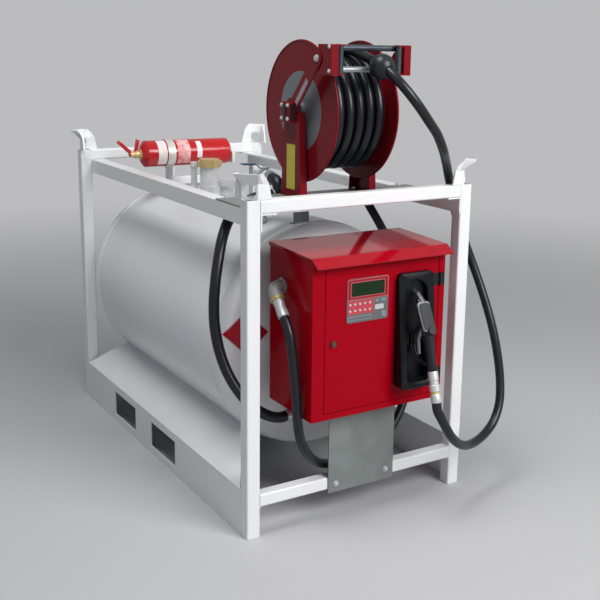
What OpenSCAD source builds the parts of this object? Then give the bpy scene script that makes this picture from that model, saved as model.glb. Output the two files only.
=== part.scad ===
// Portable fuel tank in a stacking frame: a horizontal tank with a dispenser cabinet and a hose reel.
// Millimetres, +Z up. The origin lies on the ground in the middle of the rigid parts' outer box.
// X runs from left to right along the dispenser end, and Y from that end to the rear.

/* [Frame] */
// Width of the frame over the posts
frame_w = 1000; // [960:10:1060]
// Length of the frame over the posts
frame_l = 1800; // [1760:10:1900]
// Height of the posts
post_h = 1268; // [1240:2:1300]
// Side of the square posts
post_w = 55; // [50:1:60]
// Side of the square end rails
rail_w = 50; // [44:1:54]
// Outer corner radius of the square tubes
tube_r = 7; // [5:1:10]
// Wall of the square tubes
tube_t = 4; // [3:0.5:4.5]
// Leg of the side angles
angle_leg = 62; // [50:1:70]
// Thickness of the side angles
angle_t = 5; // [4:1:8]
// Height of the bottom rails above the ground
bottom_rail_z = 119; // [100:1:130]

/* [Skirts and cradles] */
// Height of the side skirts
skirt_h = 182; // [170:1:190]
// Thickness of the skirts and cradle sheets
sheet_t = 5; // [4:1:8]
// Rise of the cradle sheets from the skirt to the tank, in degrees
cradle_slope = 33; // [30:1:36]
// Width of a fork slot
fork_w = 265; // [220:5:280]
// Height of a fork slot
fork_h = 114; // [95:1:118]
// Height of the fork slots above the ground
fork_z = 34; // [26:1:40]
// Distance between the centres of the two fork slots
fork_pitch = 448; // [400:4:500]
// Fork slots' middle, measured from the middle of the frame
fork_mid = 114; // [90:2:140]

/* [Corner lugs] */
// Length of a lug wing from the corner, at its foot
lug_wing = 98; // [90:1:110]
// Thickness of the lug plate
lug_t = 8; // [6:1:10]
// Height of the upright part of a lug
lug_upright = 56; // [54:1:62]
// Height of the whole lug
lug_h = 94; // [84:1:104]
// How far the lug flares outwards
lug_flare = 42; // [30:1:50]
// Distance from the corner to where the lug starts to cut it off
lug_cut = 43; // [42:1:48]
// How far a wing's free edge leans towards the corner
lug_lean = 24; // [16:1:28]
// Radius of the lifting eye
eye_r = 24; // [20:0.5:25]

/* [Tank] */
// Outer radius of the tank
tank_r = 465; // [455:1:468]
// Height of the tank's axis above the ground
tank_z = 631; // [622:1:640]
// Distance from the posts' front to the tank's front seam
seam_front = 385; // [378:1:400]
// Distance from the tank's rear seam to the posts' rear
seam_rear = 150; // [145:1:170]
// Thickness of the tank plates
tank_t = 5; // [4:1:8]
// Straight flange of each dished end
end_flange = 20; // [10:1:24]
// Depth of the dish beyond the straight flange
dish_h = 128; // [115:1:128]
// Knuckle radius of the dish
knuckle_r = 70; // [50:2:80]
// Width of the seam rings round the tank
seam_w = 14; // [8:1:20]
// How far the seam rings stand proud
seam_t = 3; // [2:0.5:4]

/* [Tank top] */
// Radius of the filler neck
neck_r = 44; // [38:1:50]
// Radius of the filler's weld socket
socket_r = 48; // [46:1:54]
// Height of the filler neck's top above the tank
neck_h = 132; // [120:1:150]
// Height of the weld socket above the tank
socket_h = 46; // [36:1:60]
// Radius of the filler cap
cap_r = 53; // [50:1:58]
// Height of the filler cap
cap_h = 36; // [28:1:44]
// Radius of the vent pipe
vent_r = 38; // [30:1:42]
// Height of the vent pipe above the tank
vent_h = 96; // [80:1:110]
// Radius of the dip tube
dip_r = 14; // [10:1:18]
// Height of the dip tube above the tank
dip_h = 122; // [100:1:140]
// Radius of the suction riser
riser_r = 21; // [17:0.5:24]
// Height of the suction pipe's axis above the tank
suction_lift = 174; // [168:1:184]
// Length of the valve lever
lever_l = 112; // [100:2:130]

/* [Cabinet] */
// Width of the dispenser cabinet
cab_w = 590; // [560:5:610]
// Depth of the dispenser cabinet
cab_d = 310; // [290:2:314]
// Height of the cabinet body
cab_h = 606; // [590:2:620]
// Height of the cabinet's floor above the ground
cab_z = 455; // [445:1:465]
// How far the cabinet stands out in front of the posts
cab_out = 105; // [95:1:115]
// Sheet thickness of the cabinet
cab_t = 3; // [2:0.5:4]
// Width of the strip left of the door
strip_left = 54; // [40:1:60]
// Width of the strip right of the door
strip_right = 31; // [26:1:40]
// Height of the strip below the door
strip_low = 26; // [18:1:34]
// Height of the strip above the door
strip_top = 31; // [31:1:38]
// Gap round the door
door_gap = 2.5; // [2:0.5:4]
// Depth of the door
door_d = 18; // [14:1:24]
// Thickness of the roof sheet
roof_t = 4; // [3:0.5:6]
// How far the roof reaches past the cabinet's sides
roof_side = 6; // [3:1:10]
// Fall of the roof from rear to front
roof_fall = 10; // [4:1:16]
// Drop of the roof's front lip
lip_drop = 28; // [22:1:28]
// How far the front lip slants outwards
lip_out = 42; // [30:1:50]
// Thickness of the support plate under the cabinet
plate_t = 5; // [4:0.5:8]
// Width of the support plate
plate_w = 304; // [260:4:340]

/* [Door fittings] */
// Width of the keypad panel
pad_w = 182; // [160:2:190]
// Height of the keypad panel
pad_h = 164; // [150:2:174]
// Width of the nozzle boot
boot_w = 156; // [146:2:164]
// Height of the nozzle boot
boot_h = 442; // [430:2:450]
// Depth of the nozzle boot
boot_d = 58; // [50:1:64]
// Wall of the nozzle boot
boot_t = 4; // [3:0.5:6]
// Radius of the nozzle's grip
grip_r = 20; // [16:0.5:22]
// Radius of the nozzle's spout
spout_r = 12; // [10:0.5:14]
// Radius of the hose swivel under the nozzle
swivel_r = 17; // [15:0.5:20]
// Height of a door hinge
hinge_h = 48; // [40:1:60]
// Radius of the hinge knuckles
knuckle_pin_r = 5; // [4:0.5:6]

/* [Hose reel] */
// Radius of the reel's flanges
flange_r = 262; // [250:1:266]
// Distance between the outer faces of the flanges
drum_w = 266; // [256:2:270]
// Radius of the open middle of the flanges
flange_hole_r = 150; // [140:1:156]
// Thickness of the flange sheet
flange_t = 3; // [2:0.5:4]
// Radius of the flanges' rolled edge
flange_edge_r = 4.5; // [3:0.5:5]
// Radius of the drum's core
core_r = 186; // [180:1:190]
// Height of the reel's axis
reel_z = 1547; // [1535:1:1555]
// Distance of the reel's axis behind the front of the posts
reel_back = 270; // [260:1:280]
// Distance between the outer faces of the stands
stand_span = 344; // [338:2:352]
// Depth of a stand's folded edges
stand_fold = 30; // [22:1:30]
// Width of a stand at its foot
stand_foot = 150; // [130:2:170]
// Radius of a stand's rounded top
stand_top_r = 52; // [46:1:60]
// Sheet thickness of the stands
stand_t = 4; // [3:0.5:5]
// Radius of the reel's shaft
shaft_r = 17; // [14:0.5:20]
// Thickness of the reel deck
deck_t = 6; // [5:1:8]
// Length of the reel deck behind the front rail
deck_l = 310; // [300:2:314]

/* [Hose guide] */
// Radius of the guide rollers
roller_r = 11; // [9:0.5:12]
// Radius of the roller axles
axle_r = 4; // [3:0.5:5]
// Height of the guide arms' width
arm_w = 56; // [44:2:60]
// Thickness of the guide arms
arm_t = 5; // [4:0.5:6]
// Radius of the stop ball
ball_r = 47; // [42:1:52]

/* [Hoses] */
// Outer diameter of the suction hose
suction_d = 42; // [38:1:44]
// Outer diameter of the outlet and delivery hoses
hose_d = 36; // [32:1:38]
// Turns of hose on the reel
turns = 5; // [3:1:5]
// Distance between the turns
turn_pitch = 44; // [40:1:48]

/* [Extinguisher] */
// Radius of the extinguisher cylinder
ext_r = 63; // [58:1:68]
// Length of the extinguisher cylinder
ext_l = 478; // [450:2:490]
// Height of the extinguisher's axis above the tank
ext_lift = 168; // [160:1:178]

/* [Hidden] */
$fn = 64;

// Clearance of a curved seat, and a length that reaches past a cut's faces
seat_gap = 0.3;
past = 2;

// Half sizes and the frame's main planes
half_w = frame_w / 2;
half_l = frame_l / 2;
inner_x = half_w - post_w;
inner_y = half_l - post_w;
rail_z = post_h - rail_w;
front_y = -half_l;

// Tank planes
shell_front = front_y + seam_front;
shell_rear = half_l - seam_rear;
shell_l = shell_rear - shell_front;
tank_top = tank_z + tank_r;
crown_r = (pow(tank_r - knuckle_r, 2) - pow(knuckle_r, 2) + pow(dish_h, 2)) / (2 * (dish_h - knuckle_r));
knuckle_angle = asin((tank_r - knuckle_r) / (crown_r - knuckle_r));

// Cabinet planes
cab_front = front_y - cab_out;
cab_rear = cab_front + cab_d;
cab_top = cab_z + cab_h;
door_x0 = -cab_w / 2 + strip_left;
door_x1 = cab_w / 2 - strip_right;
door_z0 = cab_z + strip_low;
door_z1 = cab_top - strip_top;
hinge_x = door_x1 + knuckle_pin_r + 1.5;
hinge_y = cab_front - knuckle_pin_r - 1.5;
hinge_low_z = cab_z + 74;
hinge_high_z = cab_top - 152;

// Places on the tank's top
neck_x = -73;
neck_y = shell_rear - 453;
valve_x = -150;
valve_y = shell_front + 123;
riser_y = valve_y + 52;
elbow_y = valve_y - 108;
suction_z = tank_top + suction_lift;

// Boot and keypad places on the door; its free width is shared out over the gaps beside them
door_room = door_x1 - door_x0 - pad_w - boot_w;
boot_x = door_x1 - door_room * 40 / 167 - boot_w / 2;
boot_z = cab_z + 77;
pad_x = boot_x - boot_w / 2 - door_room * 38 / 167 - pad_w / 2;
pad_z = cab_z + 356;
spout_y = cab_front + 22;
spout_z = cab_z + 431;
rest_z = cab_z + 383;

// Reel planes
reel_y = front_y + reel_back;
deck_z = rail_z;
deck_top = deck_z + deck_t;
stand_x = stand_span / 2;
flange_x = drum_w / 2;

// Hose guide places
roller_y = reel_y - 236;
roller_top_z = reel_z + 239;
roller_low_z = reel_z + 163;
bracket_front = roller_y - 40;
bracket_rear = roller_y + 22;
bracket_z0 = roller_low_z - 20;
bracket_z1 = roller_top_z + 12;
bracket_in = 45;
side_roller_y = roller_y - 26;
side_roller_x = stand_x - 46;
arm_end_y = roller_y + 50;
arm_end_z = roller_low_z + 38;
ball_x = 32;
ball_z = roller_low_z + 12;
ball_y = roller_y - sqrt(pow(ball_r + roller_r + seat_gap, 2) - pow(ball_z - roller_low_z, 2));

// Wound hose: the turns lie on the core
turn_r = core_r + hose_d / 2 + seat_gap;

// Extinguisher place
ext_x = -58;
ext_y = shell_rear - 150;
ext_z = tank_top + ext_lift;

// Place of the nozzle, from the hose's end up to the body
nozzle_foot = [boot_x + 4, cab_front - 163, cab_z + 51];
nozzle_head = [nozzle_foot[0], cab_front - 91, cab_z + 315];
nozzle_tilt = atan((nozzle_head[1] - nozzle_foot[1]) / (nozzle_head[2] - nozzle_foot[2]));
nozzle_len = norm(nozzle_head - nozzle_foot);
swivel_len = 118;
function up_nozzle(t) = nozzle_foot + t * (nozzle_head - nozzle_foot) / nozzle_len;

// Elbow on the cabinet's left side and the end of the hose on it
elbow_knee = [-cab_w / 2 - 45, cab_front + 212, cab_z + 470];
elbow_end = elbow_knee - [0, 80, 84];

// Routes of the hoses between their ends, measured from the middle of the posts' front
suction_route = [
    [-270, 400, 1204], [-328, 394, 1179], [-380, 376, 1137], [-423, 347, 1075], [-455, 318, 1000],
    [-477, 300, 918], [-488, 291, 832], [-490, 280, 745], [-482, 260, 660], [-464, 232, 580],
    [-432, 198, 506], [-386, 166, 446], [-336, 146, 410], [-292, 138, 396], [-262, 138, 396]
];
outlet_route = [
    [-338, -20, 772], [-333, -34, 695], [-328, -43, 610], [-323, -48, 525], [-315, -45, 440],
    [-290, -28, 358], [-243, -2, 284], [-176, 34, 225], [-95, 67, 190], [0, 87, 176], [92, 93, 188],
    [175, 98, 229], [248, 108, 296], [304, 130, 380], [341, 164, 472], [359, 196, 570], [364, 218, 675],
    [362, 235, 780], [350, 257, 882], [330, 298, 978], [303, 350, 1070], [272, 404, 1160],
    [243, 444, 1252], [222, 473, 1340], [213, 484, 1405], [209, 468, 1465], [208, 430, 1516],
    [208, 378, 1544]
];
delivery_route = [
    [22, 270, 1781], [23, 190, 1777], [25, 110, 1764], [32, -23, 1725], [41, -80, 1694],
    [68, -122, 1647], [115, -140, 1588], [172, -128, 1532], [235, -100, 1480], [298, -58, 1420],
    [341, -18, 1386], [382, 20, 1349], [416, 52, 1313], [449, 80, 1274], [485, 100, 1204],
    [510, 104, 1128], [546, 103, 1046], [580, 88, 955], [603, 55, 860], [617, 15, 765], [625, -25, 668],
    [630, -58, 565], [628, -85, 465], [610, -110, 376], [568, -130, 308], [505, -150, 270],
    [432, -175, 258], [358, -206, 270], [290, -240, 304], [232, -266, 352], [190, -280, 405],
    [162, -282, 450]
];
function from_front(route) = [for (p = route) p + [0, front_y, 0]];
suction_start = [valve_x - 35, elbow_y, suction_z - 58];
suction_line = concat([suction_start, suction_start - [27, 0, 0]], from_front(suction_route));
suction_end = suction_line[len(suction_line) - 1];
outlet_end = [stand_x + 36, reel_y + 65, reel_z];
outlet_line = concat(
    [elbow_end, elbow_end - [0, 22.4, 23.5]], from_front(outlet_route), [outlet_end + [0, 19, 0], outlet_end]
);
delivery_line = concat(from_front(delivery_route), [up_nozzle(-30), up_nozzle(-0.5)]);

// The origin's place between the nozzle in front and the rear lugs
nozzle_reach = swivel_r * cos(nozzle_tilt) - nozzle_foot[1];
rear_reach = half_l + lug_flare;
base_shift = (nozzle_reach - rear_reach) / 2;

// Section of a square tube with rounded corners
module rounded_square(w, r) {
    square([w - 2 * r, w], center = true);
    square([w, w - 2 * r], center = true);
    for (sx = [-1, 1], sy = [-1, 1])
        translate([sx * (w / 2 - r), sy * (w / 2 - r)]) circle(r);
}

module tube_section(w) {
    difference() {
        rounded_square(w, tube_r);
        rounded_square(w - 2 * tube_t, tube_r - tube_t);
    }
}

// Everything is drawn from the frame's middle and then moved to the origin
module place() {
    translate([0, base_shift, 0]) children();
}

module cyl_x(r, h) {
    rotate([0, 90, 0]) cylinder(r = r, h = h);
}

module cyl_y(r, h) {
    rotate([-90, 0, 0]) cylinder(r = r, h = h);
}

// A plate drawn as an outline in the Y-Z plane and given its thickness along X
module plate_x(x0, t) {
    translate([x0, 0, 0]) rotate([90, 0, 90]) linear_extrude(t) children();
}

// Hose: a tube swept along a smooth curve through its route
function unit(v) = v / norm(v);
function knot(route, i) =
    i < 0 ? 2 * route[0] - route[1]
    : i >= len(route) ? 2 * route[len(route) - 1] - route[len(route) - 2]
    : route[i];
function tangent(route, i) = unit(knot(route, i + 1) - knot(route, i - 1));
function carried(side, dir) = unit(side - (side * dir) * dir);
function sides(route, i, side) =
    i >= len(route) ? []
    : let (s = carried(side, tangent(route, i))) concat([s], sides(route, i + 1, s));

module hose(route, d, n = 10) {
    frames = sides(route, 0, [0.31, 0.52, 0.8]);
    rings = [
        for (i = [0:len(route) - 1], k = [0:n - 1])
            let (u = frames[i], v = cross(tangent(route, i), u))
            route[i] + d / 2 * (cos(360 * k / n) * u + sin(360 * k / n) * v)
    ];
    last = len(route) - 1;
    walls = [
        for (i = [0:last - 1], k = [0:n - 1])
            let (a = i * n + k, b = i * n + (k + 1) % n) [a + n, b + n, b, a]
    ];
    polyhedron(rings, concat(walls, [[for (k = [0:n - 1]) k], [for (k = [n - 1:-1:0]) last * n + k]]));
}

// Frame
module post(sx, sy) {
    translate([sx * (half_w - post_w / 2), sy * (half_l - post_w / 2), 0])
        linear_extrude(post_h) tube_section(post_w);
}

module end_rail(sy, z) {
    translate([-inner_x, sy * (half_l - rail_w / 2), z + rail_w / 2])
        rotate([90, 0, 90]) linear_extrude(2 * inner_x) tube_section(rail_w);
}

module side_angle() {
    translate([-inner_x, -half_l, rail_z - angle_leg]) cube([angle_t, frame_l, angle_leg]);
    translate([-inner_x, -half_l, rail_z - angle_t]) cube([angle_leg, frame_l, angle_t]);
}

module side_skirt() {
    difference() {
        translate([-half_w, -inner_y, 0]) cube([sheet_t, 2 * inner_y, skirt_h]);
        for (s = [-1, 1])
            translate([-half_w - past, fork_mid + s * fork_pitch / 2 - fork_w / 2, fork_z])
                cube([sheet_t + 2 * past, fork_w, fork_h]);
    }
}

// The sheet rises from the skirt's top edge and stops at the tank's wall; its ends are cut on a slant
module side_cradle() {
    reach = 260;
    rise = reach * tan(cradle_slope);
    edge_x = 176;
    difference() {
        intersection() {
            translate([0, inner_y, 0]) rotate([90, 0, 0]) linear_extrude(2 * inner_y)
                polygon([
                    [-half_w, skirt_h], [-half_w + sheet_t, skirt_h],
                    [-half_w + reach, skirt_h + rise - sheet_t], [-half_w + reach, skirt_h + rise]
                ]);
            linear_extrude(tank_z)
                polygon([
                    [-half_w, -inner_y], [-half_w + edge_x, shell_front],
                    [-half_w + edge_x + 60, shell_front], [-half_w + edge_x + 60, shell_rear],
                    [-half_w + edge_x, shell_rear], [-half_w, inner_y]
                ]);
        }
        translate([0, -half_l, tank_z]) cyl_y(tank_r + seam_t + seat_gap, frame_l);
    }
}

// Corner lug: one plate bent round the corner in two folds, with its middle flared out above the eye and
// the wings' free edges leaning in. A station is a place on the outer face, the way inwards from it, how far
// its top leans along the wing, its share of the flare and its height.
module lug() {
    bend = tan(22.5);
    mid_h = (lug_upright + lug_h) / 2;
    ends = [
        [lug_wing, lug_lean, 0.1, mid_h],
        [lug_wing - lug_lean, lug_lean * 0.8, 0.35, lug_h],
        [lug_cut, 0, 1, lug_h]
    ];
    front = [for (e = ends) [[e[0], 0], e[0] == lug_cut ? [bend, 1] : [0, 1], [-e[1], 0], e[2], e[3]]];
    side = [for (i = [2:-1:0]) let (e = front[i]) [
        [e[0][1], e[0][0]], [e[1][1], e[1][0]], [e[2][1], e[2][0]], e[3], e[4]
    ]];
    stations = concat(front, side);
    points = [for (st = stations) let (
            out = -lug_flare * st[3] * st[1], lean = st[2], thick = lug_t * st[1],
            foot = st[0], knee = st[0] + lean * 0.5, top = st[0] + lean + out
        ) each [
            [each (foot + thick), 0], [each foot, 0], [each knee, lug_upright], [each top, st[4]],
            [each (top + 1.3 * thick), st[4]], [each (knee + thick), lug_upright]
        ]];
    n = 6;
    walls = [
        for (i = [0:len(stations) - 2], k = [0:n - 1])
            let (a = i * n + k, b = i * n + (k + 1) % n) each [[a, a + n, b + n], [a, b + n, b]]
    ];
    last = (len(stations) - 1) * n;
    difference() {
        polyhedron(points, concat(walls, [
            [0, 1, 2], [0, 2, 5], [5, 2, 3], [5, 3, 4],
            [last, last + 2, last + 1], [last, last + 5, last + 2], [last + 5, last + 3, last + 2],
            [last + 5, last + 4, last + 3]
        ]));
        translate([lug_cut / 2, lug_cut / 2, lug_upright / 2 + 1]) rotate([90, 0, -45])
            cylinder(r = eye_r, h = 4 * lug_t, center = true);
    }
}

module corner_lug(sx, sy) {
    translate([sx * half_w, sy * half_l, post_h])
        mirror([sx > 0 ? 1 : 0, 0, 0]) mirror([0, sy > 0 ? 1 : 0, 0]) lug();
}

// Tank
module dish_outline(inset) {
    k = knuckle_r - inset;
    c = crown_r - inset;
    steps = 8;
    crown = [for (i = [2 * steps:-1:1]) knuckle_angle * i / (2 * steps)];
    polygon(concat(
        [[0, 0], [tank_r - inset, 0]],
        [for (i = [0:steps - 1]) let (a = (90 - knuckle_angle) * i / steps)
            [tank_r - knuckle_r + k * cos(a), end_flange + k * sin(a)]],
        [for (a = crown) [c * sin(a), end_flange + dish_h - crown_r + c * cos(a)]],
        [[0, end_flange + dish_h - inset]]
    ));
}

module dished_end() {
    difference() {
        rotate_extrude($fn = 128) dish_outline(0);
        rotate_extrude($fn = 128) intersection() {
            dish_outline(tank_t);
            square(tank_r);
        }
        translate([0, 0, -past]) cylinder(r = tank_r - tank_t, h = 2 * past, $fn = 128);
    }
    difference() {
        cylinder(r = tank_r + seam_t, h = seam_w, $fn = 128);
        translate([0, 0, -past]) cylinder(r = tank_r - tank_t / 2, h = seam_w + 2 * past, $fn = 128);
    }
}

module tank_shell() {
    color("white") place() difference() {
        translate([0, shell_front, tank_z]) cyl_y(tank_r, shell_l);
        translate([0, shell_front - past, tank_z]) cyl_y(tank_r - tank_t, shell_l + 2 * past);
        translate([neck_x, neck_y, tank_z]) cylinder(r = neck_r - 4, h = 2 * tank_r);
    }
}

module tank_front_end() {
    color("white") place() translate([0, shell_front, tank_z]) rotate([90, 0, 0]) dished_end();
}

module tank_rear_end() {
    color("white") place() translate([0, shell_rear, tank_z]) rotate([-90, 0, 0]) dished_end();
}

// Stub pipe that stands on the shell
module stub(x, y, r, z1) {
    difference() {
        translate([x, y, tank_z + tank_r - 60]) cylinder(r = r, h = z1 - tank_z - tank_r + 60);
        translate([0, shell_front, tank_z]) cyl_y(tank_r, shell_l);
    }
}

module filler_neck() {
    color("silver") place() difference() {
        union() {
            stub(neck_x, neck_y, neck_r, tank_top + neck_h);
            stub(neck_x, neck_y, socket_r, tank_top + socket_h);
        }
        translate([neck_x, neck_y, tank_z]) cylinder(r = neck_r - 4, h = 2 * tank_r);
    }
}

module filler_cap() {
    color("goldenrod") place() translate([neck_x, neck_y, tank_top + neck_h]) {
        cylinder(r = cap_r, h = cap_h - 8);
        cylinder(r = cap_r - 7, h = cap_h);
        for (a = [0:90:270]) rotate([0, 0, a]) translate([cap_r - 8, -8, 0]) cube([16, 16, cap_h - 10]);
    }
}

module vent_pipe() {
    color("white") place() {
        stub(neck_x + 3, neck_y - 171, vent_r - 8, tank_top + vent_h - 30);
        translate([neck_x + 3, neck_y - 171, tank_top + vent_h - 30]) cylinder(r = vent_r, h = 22);
        translate([neck_x + 3, neck_y - 171, tank_top + vent_h - 8]) cylinder(r = vent_r - 6, h = 8);
    }
}

module dip_tube() {
    color("silver") place() {
        stub(neck_x - 27, neck_y + 114, dip_r, tank_top + dip_h);
        stub(neck_x - 27, neck_y + 114, dip_r + 6, tank_top + 30);
        translate([neck_x - 27, neck_y + 114, tank_top + dip_h]) cylinder(r = dip_r + 4, h = 21);
    }
}

// Riser and ball valve; the bend in front turns down and then towards the left for the hose
module suction_valve() {
    e = suction_start;
    color("silver") place() difference() {
        union() {
            stub(valve_x, riser_y, riser_r, suction_z);
            stub(valve_x, riser_y, riser_r + 8, tank_top + 30);
            translate([valve_x, riser_y, suction_z]) sphere(riser_r + 3);
            translate([valve_x, elbow_y, suction_z]) cyl_y(riser_r, riser_y - elbow_y);
            translate([valve_x, valve_y - 30, suction_z]) cyl_y(riser_r + 7, 56);
            translate([valve_x, valve_y, suction_z]) cylinder(r = 10, h = 32);
            translate([valve_x, elbow_y, suction_z]) sphere(riser_r + 2);
            translate([valve_x, elbow_y, e[2]]) cylinder(r = riser_r + 2, h = suction_z - e[2]);
            translate([valve_x, elbow_y, e[2]]) sphere(riser_r + 2);
            translate(e) cyl_x(riser_r, valve_x - e[0]);
        }
        translate([valve_x, valve_y, suction_z + 20]) cylinder(r = 5 + seat_gap, h = 20);
    }
}

// Cranked lever on the valve's pin
module valve_lever() {
    color("steelblue") place() translate([valve_x, valve_y, suction_z + 32 + seat_gap]) {
        translate([0, 0, -12]) cylinder(r = 5, h = 12);
        cylinder(r = 13, h = 6);
        translate([0, 9, 0]) rotate([90, 0, 0]) linear_extrude(18) polygon([
            [0, 0], [-26, 0], [-46, 17], [-lever_l, 20], [-lever_l, 28], [-48, 25], [-28, 6], [0, 6]
        ]);
    }
}

module suction_hose() {
    color("dimgray") place() hose(suction_line, suction_d);
}

// Grey bend that takes the suction hose up into the cabinet's floor
module suction_tail() {
    e = suction_end;
    color("gray") place() {
        translate(e) cyl_x(suction_d / 2 + 4, 26);
        translate([e[0] + 20, e[1], e[2]]) cyl_x(suction_d / 2, 36);
        translate([e[0] + 56, e[1], e[2]]) sphere(suction_d / 2 + 3);
        translate([e[0] + 56, e[1], e[2]]) cylinder(r = suction_d / 2, h = cab_z - e[2]);
        translate([e[0] + 56, e[1], cab_z - 26]) cylinder(r = suction_d / 2 + 8, h = 26, $fn = 6);
    }
}

// Cabinet: an open-fronted box behind the door
module cabinet_body() {
    color("firebrick") place() difference() {
        union() {
            translate([-cab_w / 2, cab_front, cab_z]) cube([cab_w, cab_d, cab_h]);
        }
        translate([-cab_w / 2 + cab_t, cab_front + 2 * door_d, cab_z + cab_t])
            cube([cab_w - 2 * cab_t, cab_d - 2 * door_d - cab_t, cab_h - 2 * cab_t]);
        translate([door_x0 - door_gap, cab_front - past, door_z0 - door_gap])
            cube([door_x1 - door_x0 + 2 * door_gap, 3 * door_d, door_z1 - door_z0 + 2 * door_gap]);
        translate([door_x1, cab_front - 3, door_z0 - door_gap])
            cube([5, 3 + past, door_z1 - door_z0 + 2 * door_gap]);
    }
}

module cabinet_roof() {
    roof_w = cab_w + 2 * roof_side;
    color("firebrick") place() difference() {
        plate_x(-roof_w / 2, roof_w) polygon([
            [cab_rear, cab_top], [cab_rear, cab_top + roof_t + roof_fall],
            [cab_front, cab_top + roof_t], [cab_front - lip_out, cab_top + roof_t - lip_drop],
            [cab_front - lip_out, cab_top - lip_drop], [cab_front - 0.5, cab_top]
        ]);
    }
}

module cabinet_door() {
    color("crimson") place() difference() {
        translate([door_x0, cab_front, door_z0]) cube([door_x1 - door_x0, door_d, door_z1 - door_z0]);
        translate([boot_x - boot_w / 2 + boot_t, cab_front - past, boot_z + boot_t])
            cube([boot_w - 2 * boot_t, door_d + 2 * past, boot_h - 2 * boot_t]);
    }
}

// Fixed halves: a plate on the cabinet with the outer two knuckles
module door_hinges() {
    color("black") place() for (z = [hinge_low_z, hinge_high_z], k = [0, 2]) {
        translate([hinge_x, hinge_y, z + k * hinge_h / 3]) cylinder(r = knuckle_pin_r, h = hinge_h / 3);
        translate([hinge_x + 7, cab_front - 3, z]) cube([14, 3, hinge_h]);
        translate([hinge_x, cab_front - 3 - 2, z + k * hinge_h / 3]) cube([12, 4, hinge_h / 3]);
    }
}

// Moving halves: a plate on the door with the middle knuckle
module door_leaves() {
    color("black") place() for (z = [hinge_low_z, hinge_high_z]) {
        translate([hinge_x, hinge_y, z + hinge_h / 3 + seat_gap])
            cylinder(r = knuckle_pin_r, h = hinge_h / 3 - 2 * seat_gap);
        translate([hinge_x - 36, cab_front - 3, z]) cube([28, 3, hinge_h]);
        translate([hinge_x - 12, cab_front - 5, z + hinge_h / 3 + seat_gap])
            cube([12, 4, hinge_h / 3 - 2 * seat_gap]);
    }
}

module door_lock() {
    color("silver") place() translate([door_x0 + 33, cab_front - 8, cab_z + 288]) {
        cyl_y(11, 8);
        translate([0, -2, 0]) cyl_y(8, 3);
    }
}

// Panel with the display's window frame and two rows of five keys
module keypad_panel() {
    x0 = pad_x - pad_w / 2;
    color("whitesmoke") place() {
        translate([x0, cab_front - 3, pad_z]) cube([pad_w, 3, pad_h]);
        difference() {
            translate([x0 + 8, cab_front - 8, pad_z + pad_h - 78]) cube([pad_w - 24, 6, 72]);
            translate([x0 + 18, cab_front - 10, pad_z + pad_h - 68]) cube([pad_w - 44, 5, 52]);
        }
        for (i = [0:4], j = [0:1])
            translate([x0 + 6 + 24 * i, cab_front - 5, pad_z + 33 + 30 * j]) cube([19, 3, 24]);
    }
}

// Boot: a deep tray let into the door, with its sides standing out more towards the foot
module nozzle_boot() {
    color("black") place() translate([boot_x, 0, boot_z]) difference() {
        union() {
            plate_x(-boot_w / 2, boot_w) polygon([
                [cab_front, 0], [cab_front, boot_h], [cab_front - 18, boot_h], [cab_front - boot_d, 40],
                [cab_front - boot_d, 0]
            ]);
            translate([-boot_w / 2 + boot_t, cab_front, boot_t])
                cube([boot_w - 2 * boot_t, door_d + boot_d, boot_h - 2 * boot_t]);
        }
        translate([0, 0, -1]) plate_x(-boot_w / 2 + 2 * boot_t, boot_w - 4 * boot_t) polygon([
            [cab_front - boot_d - past, 2 * boot_t + 1], [cab_front - boot_d - past, boot_h - 2 * boot_t],
            [cab_front + door_d + boot_d - boot_t, boot_h - 2 * boot_t],
            [cab_front + door_d + boot_d - boot_t, 2 * boot_t + 1]
        ]);
    }
    color("black") place() translate([boot_x - boot_w / 2 + boot_t, spout_y - 16, rest_z - 8])
        cube([boot_w - 2 * boot_t, 54, 8]);
}

// A round bar between two points
module rod(p, q, r) {
    d = q - p;
    translate(p) rotate([0, acos(d[2] / norm(d)), atan2(d[1], d[0])]) cylinder(r = r, h = norm(d));
}

// Nozzle hung in the boot: grip, body, guard and lever, and the spout that stands on the boot's rest
module nozzle() {
    x = nozzle_foot[0];
    color("black") place() {
        rod(up_nozzle(swivel_len), up_nozzle(nozzle_len - 20), grip_r);
        rod([x, cab_front - 69, cab_z + 395], [x, spout_y, spout_z], spout_r);
        translate([x, spout_y, spout_z]) sphere(spout_r + 1);
        translate([x, spout_y, rest_z]) cylinder(r = spout_r, h = spout_z - rest_z);
        translate([x, cab_front, cab_z]) {
            plate_x(-24, 48) polygon([
                [-95, 286], [-121, 313], [-119, 351], [-87, 413], [-55, 427], [-41, 395], [-61, 325]
            ]);
            plate_x(-4, 8) polygon([
                [-125, 193], [-67, 193], [-41, 235], [-41, 265], [-71, 325],
                [-79, 319], [-51, 261], [-51, 239], [-73, 203], [-122, 203]
            ]);
            plate_x(-6, 12) polygon([[-79, 315], [-87, 309], [-98, 217], [-90, 215]]);
        }
    }
}

module nozzle_swivel() {
    color("silver") place() {
        rod(nozzle_foot, up_nozzle(swivel_len), swivel_r);
        rod(up_nozzle(46), up_nozzle(70), swivel_r + 4);
        rod(up_nozzle(96), up_nozzle(swivel_len), swivel_r + 2);
    }
}

// Folded plate from the bottom rail up to the cabinet's floor
module support_plate() {
    z0 = bottom_rail_z - 14;
    color("lightgray") place() {
        translate([-plate_w / 2, front_y - plate_t, z0]) cube([plate_w, plate_t, cab_z - z0]);
        translate([-plate_w / 2, front_y - plate_t, cab_z - plate_t]) cube([plate_w, 120, plate_t]);
    }
}

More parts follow.
